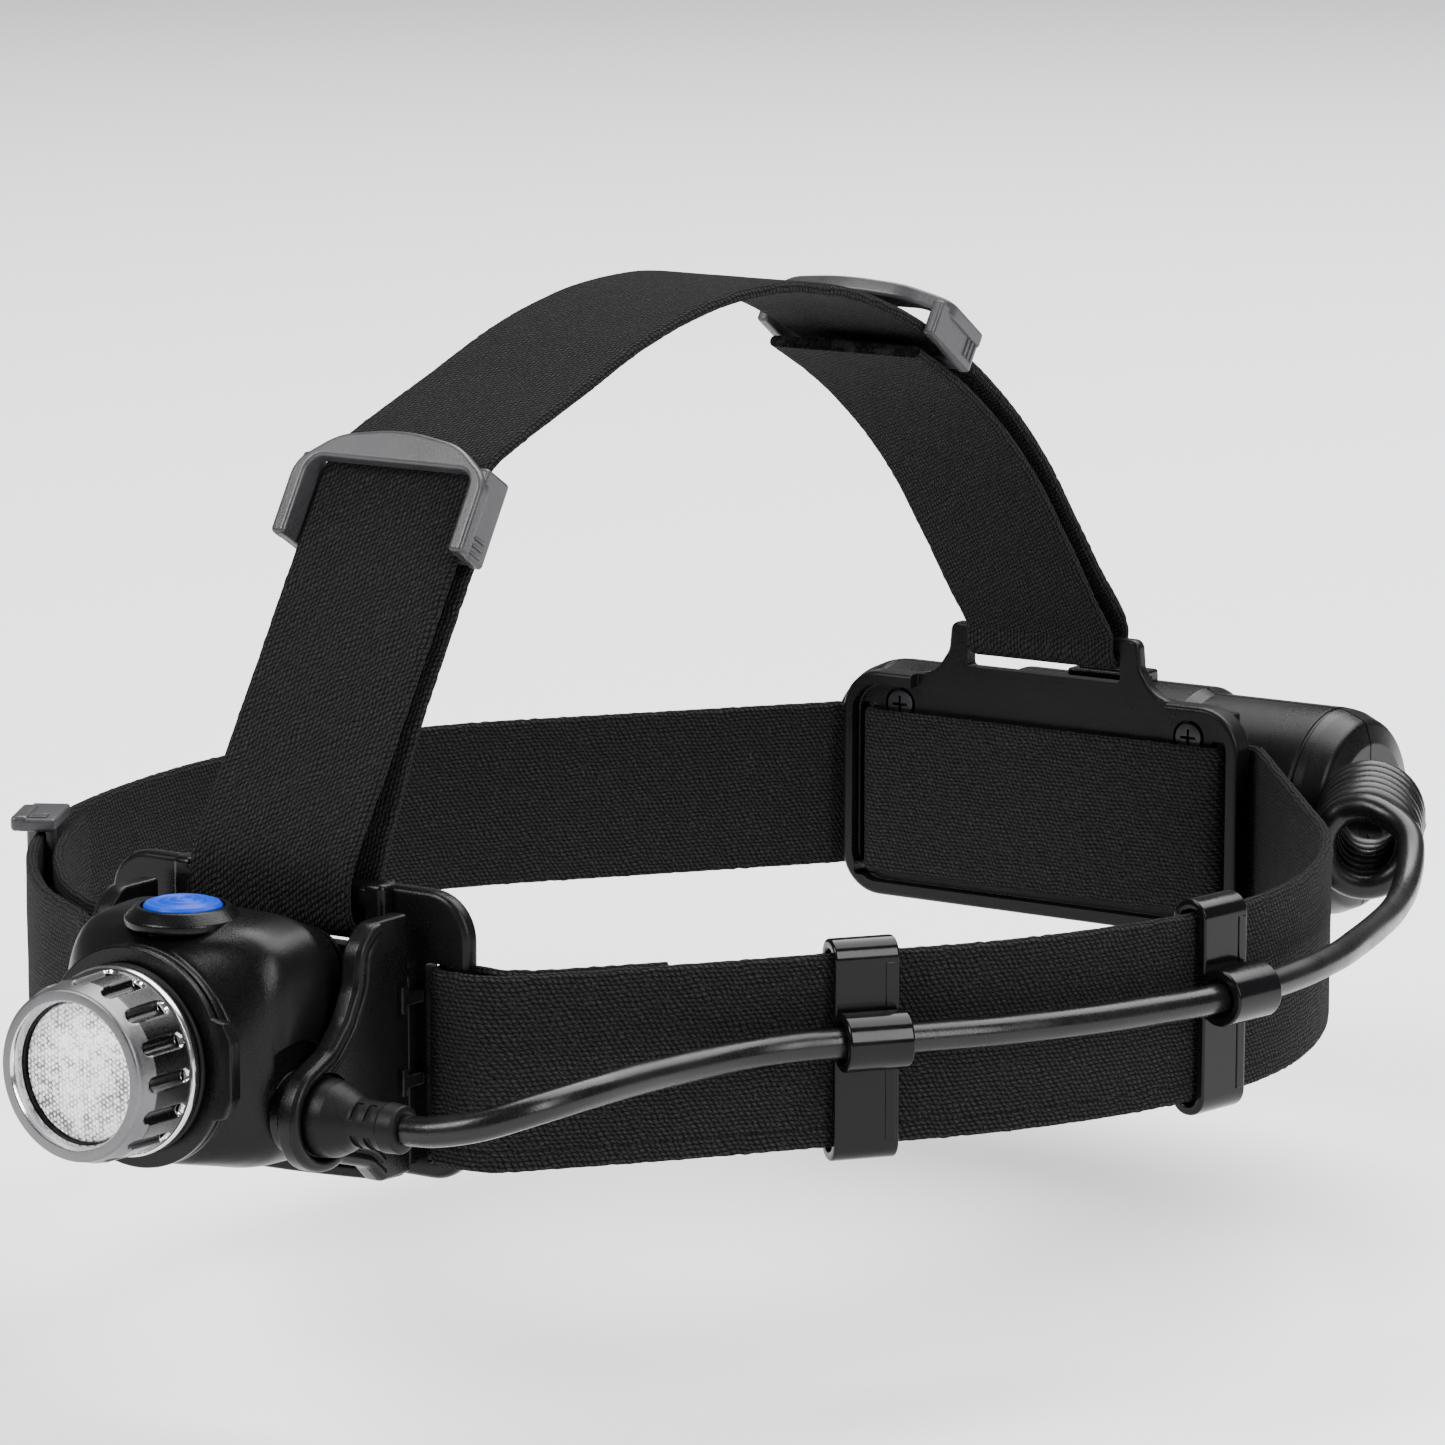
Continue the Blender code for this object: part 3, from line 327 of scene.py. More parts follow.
def settle(thing, angle=38):
    """Shade a finished mesh smooth, apart from its sharp edges, with flat faces kept flat."""
    mesh = thing.data
    mesh.shade_smooth()
    mesh.set_sharp_from_angle(angle=math.radians(angle))
    weigh = thing.modifiers.new("flat_faces", "WEIGHTED_NORMAL")
    weigh.keep_sharp = True
    thing.data = evaluated(thing)
    thing.modifiers.clear()


def piece(thing, finish, body, slot, *nodes):
    """Give a piece its material, its body and the CAD nodes it stands for. Its slot argument is not used."""
    if thing.type == "MESH":
        settle(thing)
    thing.data.materials.clear()
    thing.data.materials.append(finish)
    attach(thing, body)
    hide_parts(*nodes)
    return thing


# ---- materials ----------------------------------------------------------------------------------
class Finish:
    """A procedural material, built node by node."""

    def __init__(self, name, colour, roughness, metallic=0.0, **settings):
        self.material = bpy.data.materials.new(name)
        self.material.use_nodes = True
        self.tree = self.material.node_tree
        self.shader = self.tree.nodes["Principled BSDF"]
        self.shader.inputs["Base Color"].default_value = (*colour, 1.0)
        self.shader.inputs["Roughness"].default_value = roughness
        self.shader.inputs["Metallic"].default_value = metallic
        for socket, value in settings.items():
            self.shader.inputs[socket.replace("_", " ").title().replace("Ior", "IOR")].default_value = value
        self.colour, self.roughness = colour, roughness

    def node(self, kind, **settings):
        made = self.tree.nodes.new("ShaderNode" + kind)
        for name, value in settings.items():
            setattr(made, name, value)
        return made

    def feed(self, value, socket):
        if isinstance(value, bpy.types.NodeSocket):
            self.tree.links.new(value, socket)
        else:
            socket.default_value = value

    def math(self, operation, a, b=0.0):
        made = self.node("Math", operation=operation)
        self.feed(a, made.inputs[0])
        self.feed(b, made.inputs[1])
        return made.outputs[0]

    def place(self):
        return self.node("TexCoord").outputs["Object"]

    def noise(self, scale, detail=3.0, stretch=None):
        made = self.node("TexNoise")
        made.inputs["Scale"].default_value = scale
        made.inputs["Detail"].default_value = detail
        place = self.place()
        if stretch:
            squeeze = self.node("Mapping")
            squeeze.inputs["Scale"].default_value = stretch
            self.feed(place, squeeze.inputs["Vector"])
            place = squeeze.outputs["Vector"]
        self.feed(place, made.inputs["Vector"])
        return made.outputs[0]

    def between(self, value, low, high, start=0.35, end=0.65):
        """A value from start to end, spread from low to high."""
        made = self.node("MapRange")
        for socket, number in zip(made.inputs[1:5], (start, end, low, high)):
            socket.default_value = number
        self.feed(value, made.inputs[0])
        return made.outputs[0]

    def tint(self, value, low, high):
        """A colour between two, by a value from 0 to 1."""
        made = self.node("Mix", data_type="RGBA")
        self.feed(value, made.inputs[0])
        made.inputs[6].default_value = (*low, 1.0)
        made.inputs[7].default_value = (*high, 1.0)
        return made.outputs[2]

    def bump(self, height, distance, strength=1.0):
        made = self.node("Bump")
        made.inputs["Strength"].default_value = strength
        made.inputs["Distance"].default_value = distance
        self.feed(height, made.inputs["Height"])
        below = self.shader.inputs["Normal"].links
        if below:
            self.feed(below[0].from_socket, made.inputs["Normal"])
        self.feed(made.outputs["Normal"], self.shader.inputs["Normal"])

    def worn(self, spread=0.08, blotches=55.0, lift=1.5):
        """Uneven shine in soft blotches and fine flecks, with a little of the same in the colour."""
        soft, fine = self.noise(blotches, 4.0), self.noise(2600.0, 2.0)
        mixed = self.math("ADD", self.math("MULTIPLY", soft, 0.65), self.math("MULTIPLY", fine, 0.35))
        shine = self.between(mixed, self.roughness - spread, self.roughness + spread)
        self.feed(shine, self.shader.inputs["Roughness"])
        dark = tuple(c / lift for c in self.colour)
        pale = tuple(min(c * lift, 1.0) for c in self.colour)
        self.feed(self.tint(self.between(mixed, 0.0, 1.0), dark, pale), self.shader.inputs["Base Color"])
        return self

    def grain(self, scale, distance, strength=1.0, detail=2.0, stretch=None):
        self.bump(self.noise(scale, detail, stretch), distance, strength)
        return self


def moulded(name, colour, roughness, **settings):
    """Black plastic from a mould with a fine spark-eroded texture."""
    made = Finish(name, colour, roughness, **settings).worn(0.07, 70.0, 1.35)
    return made.grain(5200.0, 0.00005, 0.55).grain(420.0, 0.00004, 0.25).material


def knit():
    """Elastic webbing: short slanted stitches in columns along the strap, painted lighter on the stitch tops
    and darker as shade in the valleys between them, with pale flecks of painted glint on loose fibres.
    """
    made = Finish("knitted_webbing", (0.008, 0.008, 0.0085), 0.85, specular_ior_level=0.05, sheen_weight=0.01,
                  sheen_roughness=0.4)
    split = made.node("SeparateXYZ")
    made.feed(made.node("UVMap", uv_map="weave").outputs["UV"], split.inputs[0])
    wobble = made.math("MULTIPLY", made.noise(300.0, 2.0), 0.9)
    along = made.math("ADD", split.outputs[0], wobble)
    column = made.math("DIVIDE", made.math("ADD", split.outputs[1], wobble), 0.58)
    within = made.math("FRACT", column)
    slant = made.math("MULTIPLY", within, 0.6)
    step = made.math("MULTIPLY", made.math("FLOOR", column), 0.45)
    row = made.math("ADD", made.math("DIVIDE", along, 0.8), made.math("ADD", slant, step))

    def hump(value):
        edge = made.math("ABSOLUTE", made.math("SUBTRACT", made.math("FRACT", value), 0.5))
        return made.math("SUBTRACT", 1.0, made.math("POWER", made.math("MULTIPLY", edge, 2.0), 2.0))

    stitch = made.math("MULTIPLY", hump(column), hump(row))
    fibres = made.noise(3400.0, 3.0)
    height = made.math("ADD", stitch, made.math("MULTIPLY", fibres, 0.9))
    made.bump(height, 0.00034, 0.9)
    # Pale flecks: painted glints of loose fibres.
    painted_fibre_glints = made.between(made.noise(3300.0, 1.0), 0.0, 1.0, 0.5, 0.75)
    # Painted light and shade: lighter on the stitch tops, darker in the valleys between them, plus the
    # painted glints.
    pale = made.math("ADD", made.math("MULTIPLY", stitch, 0.55), made.math("MULTIPLY", painted_fibre_glints, 0.4))
    painted_shade, painted_light = (0.0004, 0.0004, 0.0005), (0.034, 0.034, 0.035)
    made.feed(made.tint(pale, painted_shade, painted_light), made.shader.inputs["Base Color"])
    made.feed(made.between(fibres, 0.7, 0.95), made.shader.inputs["Roughness"])
    return made.material


def lens_finish():
    """Clear optic painted nearly white, as painted light for the bright reflector behind it, with painted
    shade in grey between its small domes.

    Three waves, 60 degrees apart, add up to the grid of domes. Their sum runs from -1.5 to 3.
    """
    made = Finish("facet_lens", (0.9, 0.9, 0.9), 0.1, transmission_weight=0.1, ior=1.49, coat_weight=0.6,
                  coat_roughness=0.04)
    split = made.node("SeparateXYZ")
    made.feed(made.place(), split.inputs[0])
    x, z = split.outputs[0], made.math("SUBTRACT", split.outputs[2], LAMP_Z * MM)
    half, lean = made.math("MULTIPLY", x, 0.5), made.math("MULTIPLY", z, ROW_LEAN)
    waves = 1.5
    for turn in (x, made.math("ADD", half, lean), made.math("SUBTRACT", half, lean)):
        wave = made.math("COSINE", made.math("MULTIPLY", turn, 2 * math.pi / (DOME_PITCH * MM)))
        waves = made.math("ADD", wave, waves)
    cell = made.math("POWER", made.math("MULTIPLY", waves, 1 / 4.5), 0.7)
    # Soft patches, and fine specks lighter and darker as painted glints.
    patchy = made.between(made.noise(190.0, 2.0), -0.22, 0.5, 0.3, 0.62)
    painted_glints = made.between(made.noise(1500.0, 2.0), -0.4, 0.35, 0.35, 0.65)
    pale = made.math("ADD", made.math("ADD", made.math("MULTIPLY", cell, 1.2), patchy), painted_glints)
    # The colour: white on the domes' crowns and grey between them as painted shade, with the patches and
    # painted glints.
    made.feed(made.tint(pale, (0.1, 0.102, 0.105), (1.0, 1.0, 1.0)), made.shader.inputs["Base Color"])
    made.grain(1500.0, 0.00003, 0.3)
    return made.material


def surface(name, colour, roughness, metallic, wear, grain, **settings):
    """A finish with its wear (spread, blotches, lift) and its grain (scale, distance, strength)."""
    return Finish(name, colour, roughness, metallic, **settings).worn(*wear).grain(*grain).material


BLACK = moulded("satin_black_plastic", (0.003, 0.003, 0.0033), 0.31, specular_ior_level=0.14)
GLOSS = surface("glossy_black_plastic", (0.003, 0.003, 0.0034), 0.15, 0.0, (0.05, 90.0, 1.3),
                (700.0, 0.00002, 0.3), specular_ior_level=0.14)
DARK_GREY = moulded("satin_grey_plastic", (0.035, 0.035, 0.037), 0.34, specular_ior_level=0.35)
BLUE = surface("blue_button", (0.001, 0.04, 0.4), 0.38, 0.0, (0.04, 120.0, 1.06), (4200.0, 0.00003, 0.4),
               specular_ior_level=0.15)
RUBBER = surface("black_rubber", (0.0035, 0.0035, 0.0035), 0.42, 0.0, (0.09, 90.0, 1.3),
                 (3800.0, 0.00005, 0.6), specular_ior_level=0.12)
JACKET = surface("cable_jacket", (0.004, 0.004, 0.0045), 0.3, 0.0, (0.08, 130.0, 1.3),
                 (3000.0, 0.00003, 0.5), specular_ior_level=0.24)
WEBBING = knit()
BLASTED = surface("blasted_aluminium", (0.13, 0.13, 0.133), 0.43, 1.0, (0.08, 120.0, 1.2),
                  (6500.0, 0.00004, 0.5))
# Also put on the flutes' rear ends as a painted highlight.
POLISHED = surface("polished_aluminium", (0.55, 0.55, 0.56), 0.16, 1.0, (0.05, 160.0, 1.08),
                   (2500.0, 0.00001, 0.3))
# The bezel's aluminium again, darker: painted shade for its fluted side.
PAINTED_SHADE_ALUMINIUM = surface("aluminium_painted_shade", (0.028, 0.028, 0.029), 0.3, 1.0, (0.08, 120.0, 1.2),
                (6500.0, 0.00004, 0.5))
PLAIN_METAL = surface("turned_aluminium", (0.7, 0.7, 0.72), 0.3, 1.0, (0.08, 110.0, 1.1),
                      (1800.0, 0.00002, 0.4, 2.0, (1.0, 14.0, 1.0)))
STEEL = surface("zinc_plated_steel", (0.5, 0.5, 0.52), 0.28, 1.0, (0.09, 200.0, 1.2), (2600.0, 0.00002, 0.4))
DARK_STEEL = surface("blackened_steel", (0.035, 0.035, 0.037), 0.36, 0.9, (0.08, 200.0, 1.3),
                     (2600.0, 0.00002, 0.4))
LENS = lens_finish()
EMITTER = surface("phosphor", (0.85, 0.62, 0.1), 0.35, 0.0, (0.08, 400.0, 1.15), (3000.0, 0.00001, 0.3))
BOARD = surface("solder_mask", (0.02, 0.13, 0.05), 0.34, 0.0, (0.07, 300.0, 1.4), (1200.0, 0.00002, 0.4))
WRAP = surface("cell_wrap", (0.02, 0.09, 0.26), 0.3, 0.0, (0.07, 80.0, 1.2), (500.0, 0.00003, 0.4))


# ---- straps -------------------------------------------------------------------------------------
STRAP_WIDTH, STRAP_THICK = 25.0, 1.6
STRAP_HALF = STRAP_THICK / 2
GAP = 0.3
LAYER_GAP = 3.6
SIDE_BAR_X, FRONT_Y, REAR_Y = 26.0, (-95.0, -92.5), (89.0, 91.3)
LOOP_FRONT, LOOP_BACK = FRONT_Y[0] - GAP - STRAP_HALF, FRONT_Y[1] + GAP + STRAP_HALF
REAR_BAR_X, REAR_WRAP = 33.15, 2.9
REAR_INNER_Y = REAR_Y[0] - 0.6 - STRAP_HALF

LEFT_FRONT = [(34.1, -93.6), (46.5, -78.2), (59.1, -61.3), (73.6, -41.5), (83.2, -20.3)]
RIGHT_FRONT = [(34.1, -93.6), (48.5, -84.0), (62.3, -70.0), (72.9, -55.2), (80.2, -39.5), (84.8, -20.3)]
SIDE_REAR = [(86.5, 0.0), (83.3, 20.5), (73.9, 41.6), (59.5, 61.0), (47.2, 76.8), (35.43, 91.94)]
LEFT_ROUTE, RIGHT_ROUTE = LEFT_FRONT + SIDE_REAR, RIGHT_FRONT + SIDE_REAR

TOP_BAR = (-97.0, FRONT_Y[1], 18.8)
REAR_BAR_Z = 25.2
TOP_FRONT, TOP_BACK = TOP_BAR[0] - GAP - STRAP_HALF, TOP_BAR[1] + GAP + STRAP_HALF
CROWN_REAR, CROWN_INNER = REAR_Y[1] + GAP + STRAP_HALF, REAR_Y[0] - GAP - STRAP_HALF
TOP_ROUTE = [(TOP_FRONT, TOP_BAR[2]), (TOP_FRONT + 0.05, 22.2), (-96.4, 26.2), (-91.0, 34.4), (-84.4, 44.8),
             (-77.8, 55.3), (-71.4, 65.5), (-69.2, 68.9), (-66.0, 71.5), (-59.0, 74.2), (-47.6, 78.0),
             (-32.0, 83.2), (-17.0, 86.3), (-3.0, 87.2), (9.0, 86.2), (20.0, 83.9), (30.5, 80.4),
             (40.0, 76.1), (49.5, 70.9), (59.5, 63.9), (69.0, 55.4), (77.3, 45.8), (85.0, 36.8),
             (90.4, 31.2), (92.2, 28.2), (CROWN_REAR, REAR_BAR_Z)]


def side_line(route):
    """Plan of one side of the headband, from the slot in the front bracket to its rear one."""
    fold_turn = arc((29.0, LOOP_FRONT + 6.5), 6.5, -90, -38, 8)
    rear_turn = arc((REAR_BAR_X, sum(REAR_Y) / 2), REAR_WRAP, 38, 180, 16)
    inner_turn = arc((28.65, REAR_INNER_Y + 1.6), 1.6, 0, -90, 8)
    return fold_turn[:-1] + smooth(route, 0.8) + rear_turn[1:] + inner_turn


def evenly(line, step):
    """The line again with a point every step or so."""
    result = [line[0]]
    for previous, point in zip(line, line[1:]):
        gap = (point - previous).length
        parts = max(1, math.ceil(gap / step))
        result += [previous.lerp(point, k / parts) for k in range(1, parts)]
        if gap > step * 0.4 or (point - result[-1]).length > step * 0.4:
            result.append(point)
    return result


def strap_section():
    """A flat section with round edges, its faces split across so that they can swell a little."""
    half, round_edge, rows = STRAP_WIDTH / 2, STRAP_HALF - 0.02, 12
    flat = half - round_edge
    across = [-flat + 2 * flat * i / rows for i in range(rows + 1)]
    bottom = [(a, -STRAP_HALF) for a in across[1:-1]]
    top = [(a, STRAP_HALF) for a in reversed(across[1:-1])]
    right = [tuple(p) for p in arc((flat, 0), STRAP_HALF, -90, 90, 6)]
    left = [tuple(p) for p in arc((-flat, 0), STRAP_HALF, 90, 270, 6)]
    return bottom + right + top + left


def webbing(name, line, across, node):
    path = [Vector(p) for p in line]
    strap = sweep(name, path, across, strap_section(), ragged=0.16)
    piece(strap, WEBBING, "headset", "webbing", node)
    round(length_of(path)) * MM


def headband():
    left, right = side_line(LEFT_ROUTE), side_line(RIGHT_ROUTE)
    loop = LOOP_BACK - LOOP_FRONT
    fold = arc((SIDE_BAR_X - 0.6, (LOOP_FRONT + LOOP_BACK) / 2), loop / 2, 90, 270, 16)
    stitched_end = cut_to_length(beside(left, loop, 2.0, 12.0), 24.0)
    doubled = cut_to_length(beside(right, loop, LAYER_GAP, 14.0), 68.0)
    left = stitched_end[::-1] + fold + left
    right = [Vector((-p.x, p.y)) for p in doubled[::-1] + fold + right]
    line = evenly(left + right[::-1], 0.8)
    webbing("headband_webbing", [(p.x, p.y, 0.0) for p in line], Z, "headband")


def top_strap():
    outer = smooth(TOP_ROUTE, 0.8)
    front_gap, rear_gap = TOP_BACK - TOP_FRONT, CROWN_REAR - CROWN_INNER
    front_inner = cut_to_length(beside(outer, -front_gap, -LAYER_GAP, 30.0), 56.5)
    rear_inner = cut_to_length(beside(outer[::-1], rear_gap, LAYER_GAP, 24.0), 75.0)
    front_fold = arc(((TOP_FRONT + TOP_BACK) / 2, TOP_BAR[2]), front_gap / 2, 0, -180, 18)
    rear_fold = arc((sum(REAR_Y) / 2, REAR_BAR_Z), rear_gap / 2, 0, -180, 14)
    line = evenly(front_inner[::-1] + front_fold[1:-1] + outer + rear_fold[1:-1] + rear_inner, 0.8)
    webbing("top_strap_webbing", [(0.0, p.x, p.y) for p in line], X, "top_strap")


def strap_frame(line, near, to_world):
    """The turned frame where a strap passes nearest to a point: X along it, Y across it and Z outward."""
    near = Vector(near)
    i = min(range(1, len(line) - 1), key=lambda k: (line[k] - near).length)
    along = (line[i + 1] - line[i - 1]).normalized()
    outward = Vector((along.y, -along.x))
    if outward.dot(line[i]) < 0:
        outward = -outward
    origin, along, outward = to_world(line[i]), to_world(along), to_world(outward)
    turn = Matrix((along, outward.cross(along), outward)).transposed().to_4x4()
    return Matrix.Translation(origin * MM) @ turn


def in_plan(point):
    return Vector((point.x, point.y, 0.0))


def in_side_view(point):
    return Vector((0.0, point.x, point.y))


def slider(node, body, place, heavy_end, lift=0.0):
    """A strap adjuster: a crescent bar over the strap, two arms and a thin bar between the layers.

    The crescent is at the end that heavy_end's sign gives, and lift tips it off the strap, in degrees.
    """
    inside, outside, over, under = STRAP_WIDTH / 2 + 0.4, STRAP_WIDTH / 2 + 2.6, 1.2, -1.2
    crown = [(-6.7, -outside), (3.6, -outside, 4.2), (7.7, -9.5, 9.0), (9.2, 0.0, 34.0), (7.7, 9.5, 9.0),
             (3.6, outside, 4.2), (-6.7, outside)]
    crown += [(-6.7, inside), (4.4, inside, 2.2), (4.4, -inside, 2.2), (-6.7, -inside)]
    outline = [Vector((p.x * heavy_end, p.y)) for p in rounded(crown, 0.7, count=7)]
    bar = slab(node + "_moulding", outline, over, over + 2.4, "Z", 0.6, 5)

    def ends(low, high):
        return sorted((low * heavy_end, high * heavy_end))

    near, far = ends(-6.4, -3.4)
    extra = [block((near, 0.5 - outside, under - 1.2), (far, outside - 0.5, under), 0.5)]
    near, far = ends(-6.7, 5.2)
    for side in (-1, 1):
        low, high = sorted((side * inside, side * (outside - 0.35)))
        extra.append(block((near, low, under - 1.4), (far, high, over + 1.5), 0.45))
        low, high = sorted((side * (outside - 0.6), side * (outside - 0.1)))
        for rib in range(3):
            start, end = ends(-5.9 + rib, -5.45 + rib)
            extra.append(block((start, low, -1.3), (end, high, 1.3), 0.12))
    combine(bar, join=extra)
    hinge = Matrix.Translation(Vector((-4.9 * heavy_end, 0.0, -1.8)) * MM)
    tip = Matrix.Rotation(math.radians(-heavy_end * lift), 4, "Y")
    bar.data.transform(place @ hinge @ tip @ hinge.inverted())
    piece(bar, DARK_GREY, body, "dark_grey_plastic", node)


CLIP_THICK, CLIP_WIDTH = 1.3, 8.6
CLIP_FACE = STRAP_HALF + 0.6 + CLIP_THICK / 2
CABLE_OFFSET, CABLE_HEIGHT, CABLE_RADIUS = CLIP_FACE + 2.9, 2.0, 1.95


def cable_clip(node, body, place):
    """A strip bent round both edges of the strap, with an open loop for the cable at its front."""
    edge = STRAP_WIDTH / 2 + 0.5 + CLIP_THICK / 2
    loop = CABLE_RADIUS + 0.5 + CLIP_THICK / 2
    ring = [tuple(p) for p in arc((CABLE_OFFSET, CABLE_HEIGHT), loop, -138, 138, 30)]
    profile = [(-CLIP_FACE, -edge + 6.5), (-CLIP_FACE, -edge, 1.9), (CLIP_FACE, -edge, 1.9)]
    profile += [(CLIP_FACE, ring[0][1] - 0.6, 0.5)] + [(*p, 0.0) for p in ring]
    profile += [(CLIP_FACE, ring[-1][1] + 0.6, 0.5), (CLIP_FACE, edge, 1.9), (-CLIP_FACE, edge, 1.9),
                (-CLIP_FACE, edge - 6.5)]
    path = [Vector((0.0, height, out)) for out, height in rounded(profile, 0.8, closed=False, count=8)]
    corners = rectangle(CLIP_WIDTH / 2, -CLIP_THICK / 2, CLIP_THICK / 2)
    clip = sweep(node + "_moulding", path, X, [tuple(p) for p in rounded(corners, 0.32)])
    near, far, face = CLIP_WIDTH / 2 - 1.9, CLIP_WIDTH / 2 - 0.5, CLIP_FACE + CLIP_THICK / 2
    spans = ((-edge + 2.2, ring[0][1] - 1.4), (ring[-1][1] + 1.4, edge - 2.2))
    ribs = [block((near, low, face - 0.4), (far, high, face + 0.16), 0.12) for low, high in spans]
    combine(clip, join=ribs)
    clip.data.transform(place)
    piece(clip, GLOSS, body, "gloss_black", node)


def straps_and_fittings():
    headband()
    top_strap()
    left, top = smooth(LEFT_ROUTE, 1.0), smooth(TOP_ROUTE, 1.0)
    right = [Vector((-p.x, p.y)) for p in smooth(RIGHT_ROUTE, 1.0)]
    slider("side_slider", "side_adjuster", strap_frame(right, (-74.6, -52.4), in_plan), 1)
    slider("front_top_slider", "front_top_adjuster", strap_frame(top, (-71.6, 65.2), in_side_view), 1)
    slider("rear_top_slider", "rear_top_adjuster", strap_frame(top, (39.5, 76.3), in_side_view), -1, 8.0)
    cable_clip("front_cable_clip", "front_clip", strap_frame(left, (62.0, -57.6), in_plan))
    cable_clip("rear_cable_clip", "rear_clip", strap_frame(left, (85.3, -10.5), in_plan))


# ---- front bracket and tilt cradle --------------------------------------------------------------
PIVOT = (-114.5, -3.0)
ARM_INNER, ARM_OUTER = 18.4, 20.9
EYE_OUTER, EYE_BORE = 6.9, 5.5


def front_bracket():
    outline = rounded(rectangle(28.3, -14.8, 22.0), 6.0, count=10)
    plate = slab("front_bracket_moulding", outline, *FRONT_Y, "Y", 0.9, 5)
    raised = slab("raised", rounded(rectangle(20.5, -13.5, 12.2), 2.0), -97.0, -94.0, "Y", 0.6)
    bar = block((-16.6, TOP_BAR[0], TOP_BAR[2]), (16.6, TOP_BAR[1], 22.0), 0.9, "X")
    pad = slab("pad", rounded(rectangle(20.0, -13.0, 12.0), 3.0), -93.5, -89.6, "Y", 0.9, 4)
    posts = both_sides(13.5, 16.7, (-97.0, -93.0), (10.5, 22.4), 0.8)
    cuts = both_sides(21.8, SIDE_BAR_X, (-100, -88), (-12.9, 12.9), 0.5, "Y")
    cuts.append(block((-13.3, -100, 13.6), (13.3, -88, TOP_BAR[2]), 0.4, "Y"))
    combine(plate, [raised, bar, pad, *posts], cuts)
    piece(plate, BLACK, "headset", "moulded_black", "front_bracket")


def arm_outline():
    """Side view of a cradle arm: from the bracket it sweeps forward round the pivot eye."""
    eye = [(*p, 0.0) for p in arc(PIVOT, EYE_OUTER, 112, 292, 30)]
    top = [(-97.3, 19.4, 0.4), (-104.4, 19.4, 3.0), (-107.6, 16.8, 4.0), (-108.2, 12.0, 5.0),
           (-110.4, 8.0, 5.0), (-113.4, 5.0, 4.0)]
    bottom = [(-106.0, -11.2, 3.0), (-103.4, -13.6, 1.5), (-97.3, -13.6, 0.4)]
    return rounded(top + eye + bottom, 1.0, count=8)


def tilt_cradle():
    cradle = slab("tilt_cradle_moulding", rounded(rectangle(ARM_OUTER, -13.6, 12.0), 0.5), -99.0, -97.3, "Y")
    outline = arm_outline()
    rim_path = [p for p in inset(anticlockwise(outline), 0.9) if p.x < -100.5]
    start = max(range(len(rim_path)), key=lambda k: (rim_path[k] - rim_path[k - 1]).length)
    rim_path = evenly(rim_path[start:] + rim_path[:start], 0.8)
    inner_path = evenly(inset(rim_path, 1.5)[2:-2], 0.8)
    extra = []
    for side in (-1, 1):
        near, far = sorted((side * ARM_INNER, side * ARM_OUTER))
        extra.append(slab("arm", outline, near, far, "X", 0.5))
        face = side * (ARM_OUTER - 0.12)
        for path, radius in ((rim_path, 0.85), (inner_path, 0.5)):
            extra.append(bead([Vector((face, p.x, p.y)) for p in path], X, radius, 0.75))
        low, high = sorted((side * (ARM_OUTER - 0.3), side * (ARM_OUTER + 0.9)))
        for height in (-1.7, 8.8):
            extra.append(block((low, -99.8, height - 0.8), (high, -95.3, height + 0.8), 0.25))
            extra.append(block((low, -99.8, height - 1.7), (high, -98.7, height + 1.7), 0.25))
    hoop = [(-20.5, -98.0)] + [(x, -101.5 - 3.0 * math.cos(math.pi * x / 41)) for x in range(-20, 21, 2)]
    hoop.append((20.5, -98.0))
    extra.append(slab("hoop", [Vector(p) for p in hoop], -14.0, -12.2, "Z", 0.6, 4))
    combine(cradle, extra, [rod_x(EYE_BORE, 16, 24, PIVOT, 72), rod_x(3.4, -24, -16, PIVOT, 60)])
    piece(cradle, BLACK, "headset", "moulded_black", "tilt_cradle")


# ---- lamp head ----------------------------------------------------------------------------------
HOUSING_REAR = -102.0
PIVOT_CENTRE, BUTTON_CENTRE = (0, *PIVOT), (0, -115.6, 0)
CORNERS = [(x, z) for x in (-10.4, 10.4) for z in (-3.2, 13.2)]
OPTICAL_AXIS = (0.0, 0.0, LAMP_Z)


def squircle(y, half_width, low, high, power, count=96):
    """A ring across Y between a circle (power 2) and a square with round corners."""
    ring = []
    for i in range(count):
        a = 2 * math.pi * i / count
        c, s = math.cos(a), math.sin(a)
        ring.append((math.copysign(abs(c) ** (2 / power), c) * half_width, y,
                     (low + high) / 2 + math.copysign(abs(s) ** (2 / power), s) * (high - low) / 2))
    return ring


def eased(keys, per_gap=5):
    """More rows between key rows of numbers, on smooth curves."""
    rows = [Vector(k) for k in keys]
    ends = [2 * rows[0] - rows[1]] + rows + [2 * rows[-1] - rows[-2]]
    result = [rows[0]]
    for i in range(1, len(ends) - 2):
        for k in range(1, per_gap + 1):
            t = k / per_gap
            p0, p1, p2, p3 = ends[i - 1:i + 3]
            result.append(0.5 * (2 * p1 + (p2 - p0) * t + (2 * p0 - 5 * p1 + 4 * p2 - p3) * t * t
                                 + (3 * p1 - p0 - 3 * p2 + p3) * t ** 3))
    return result


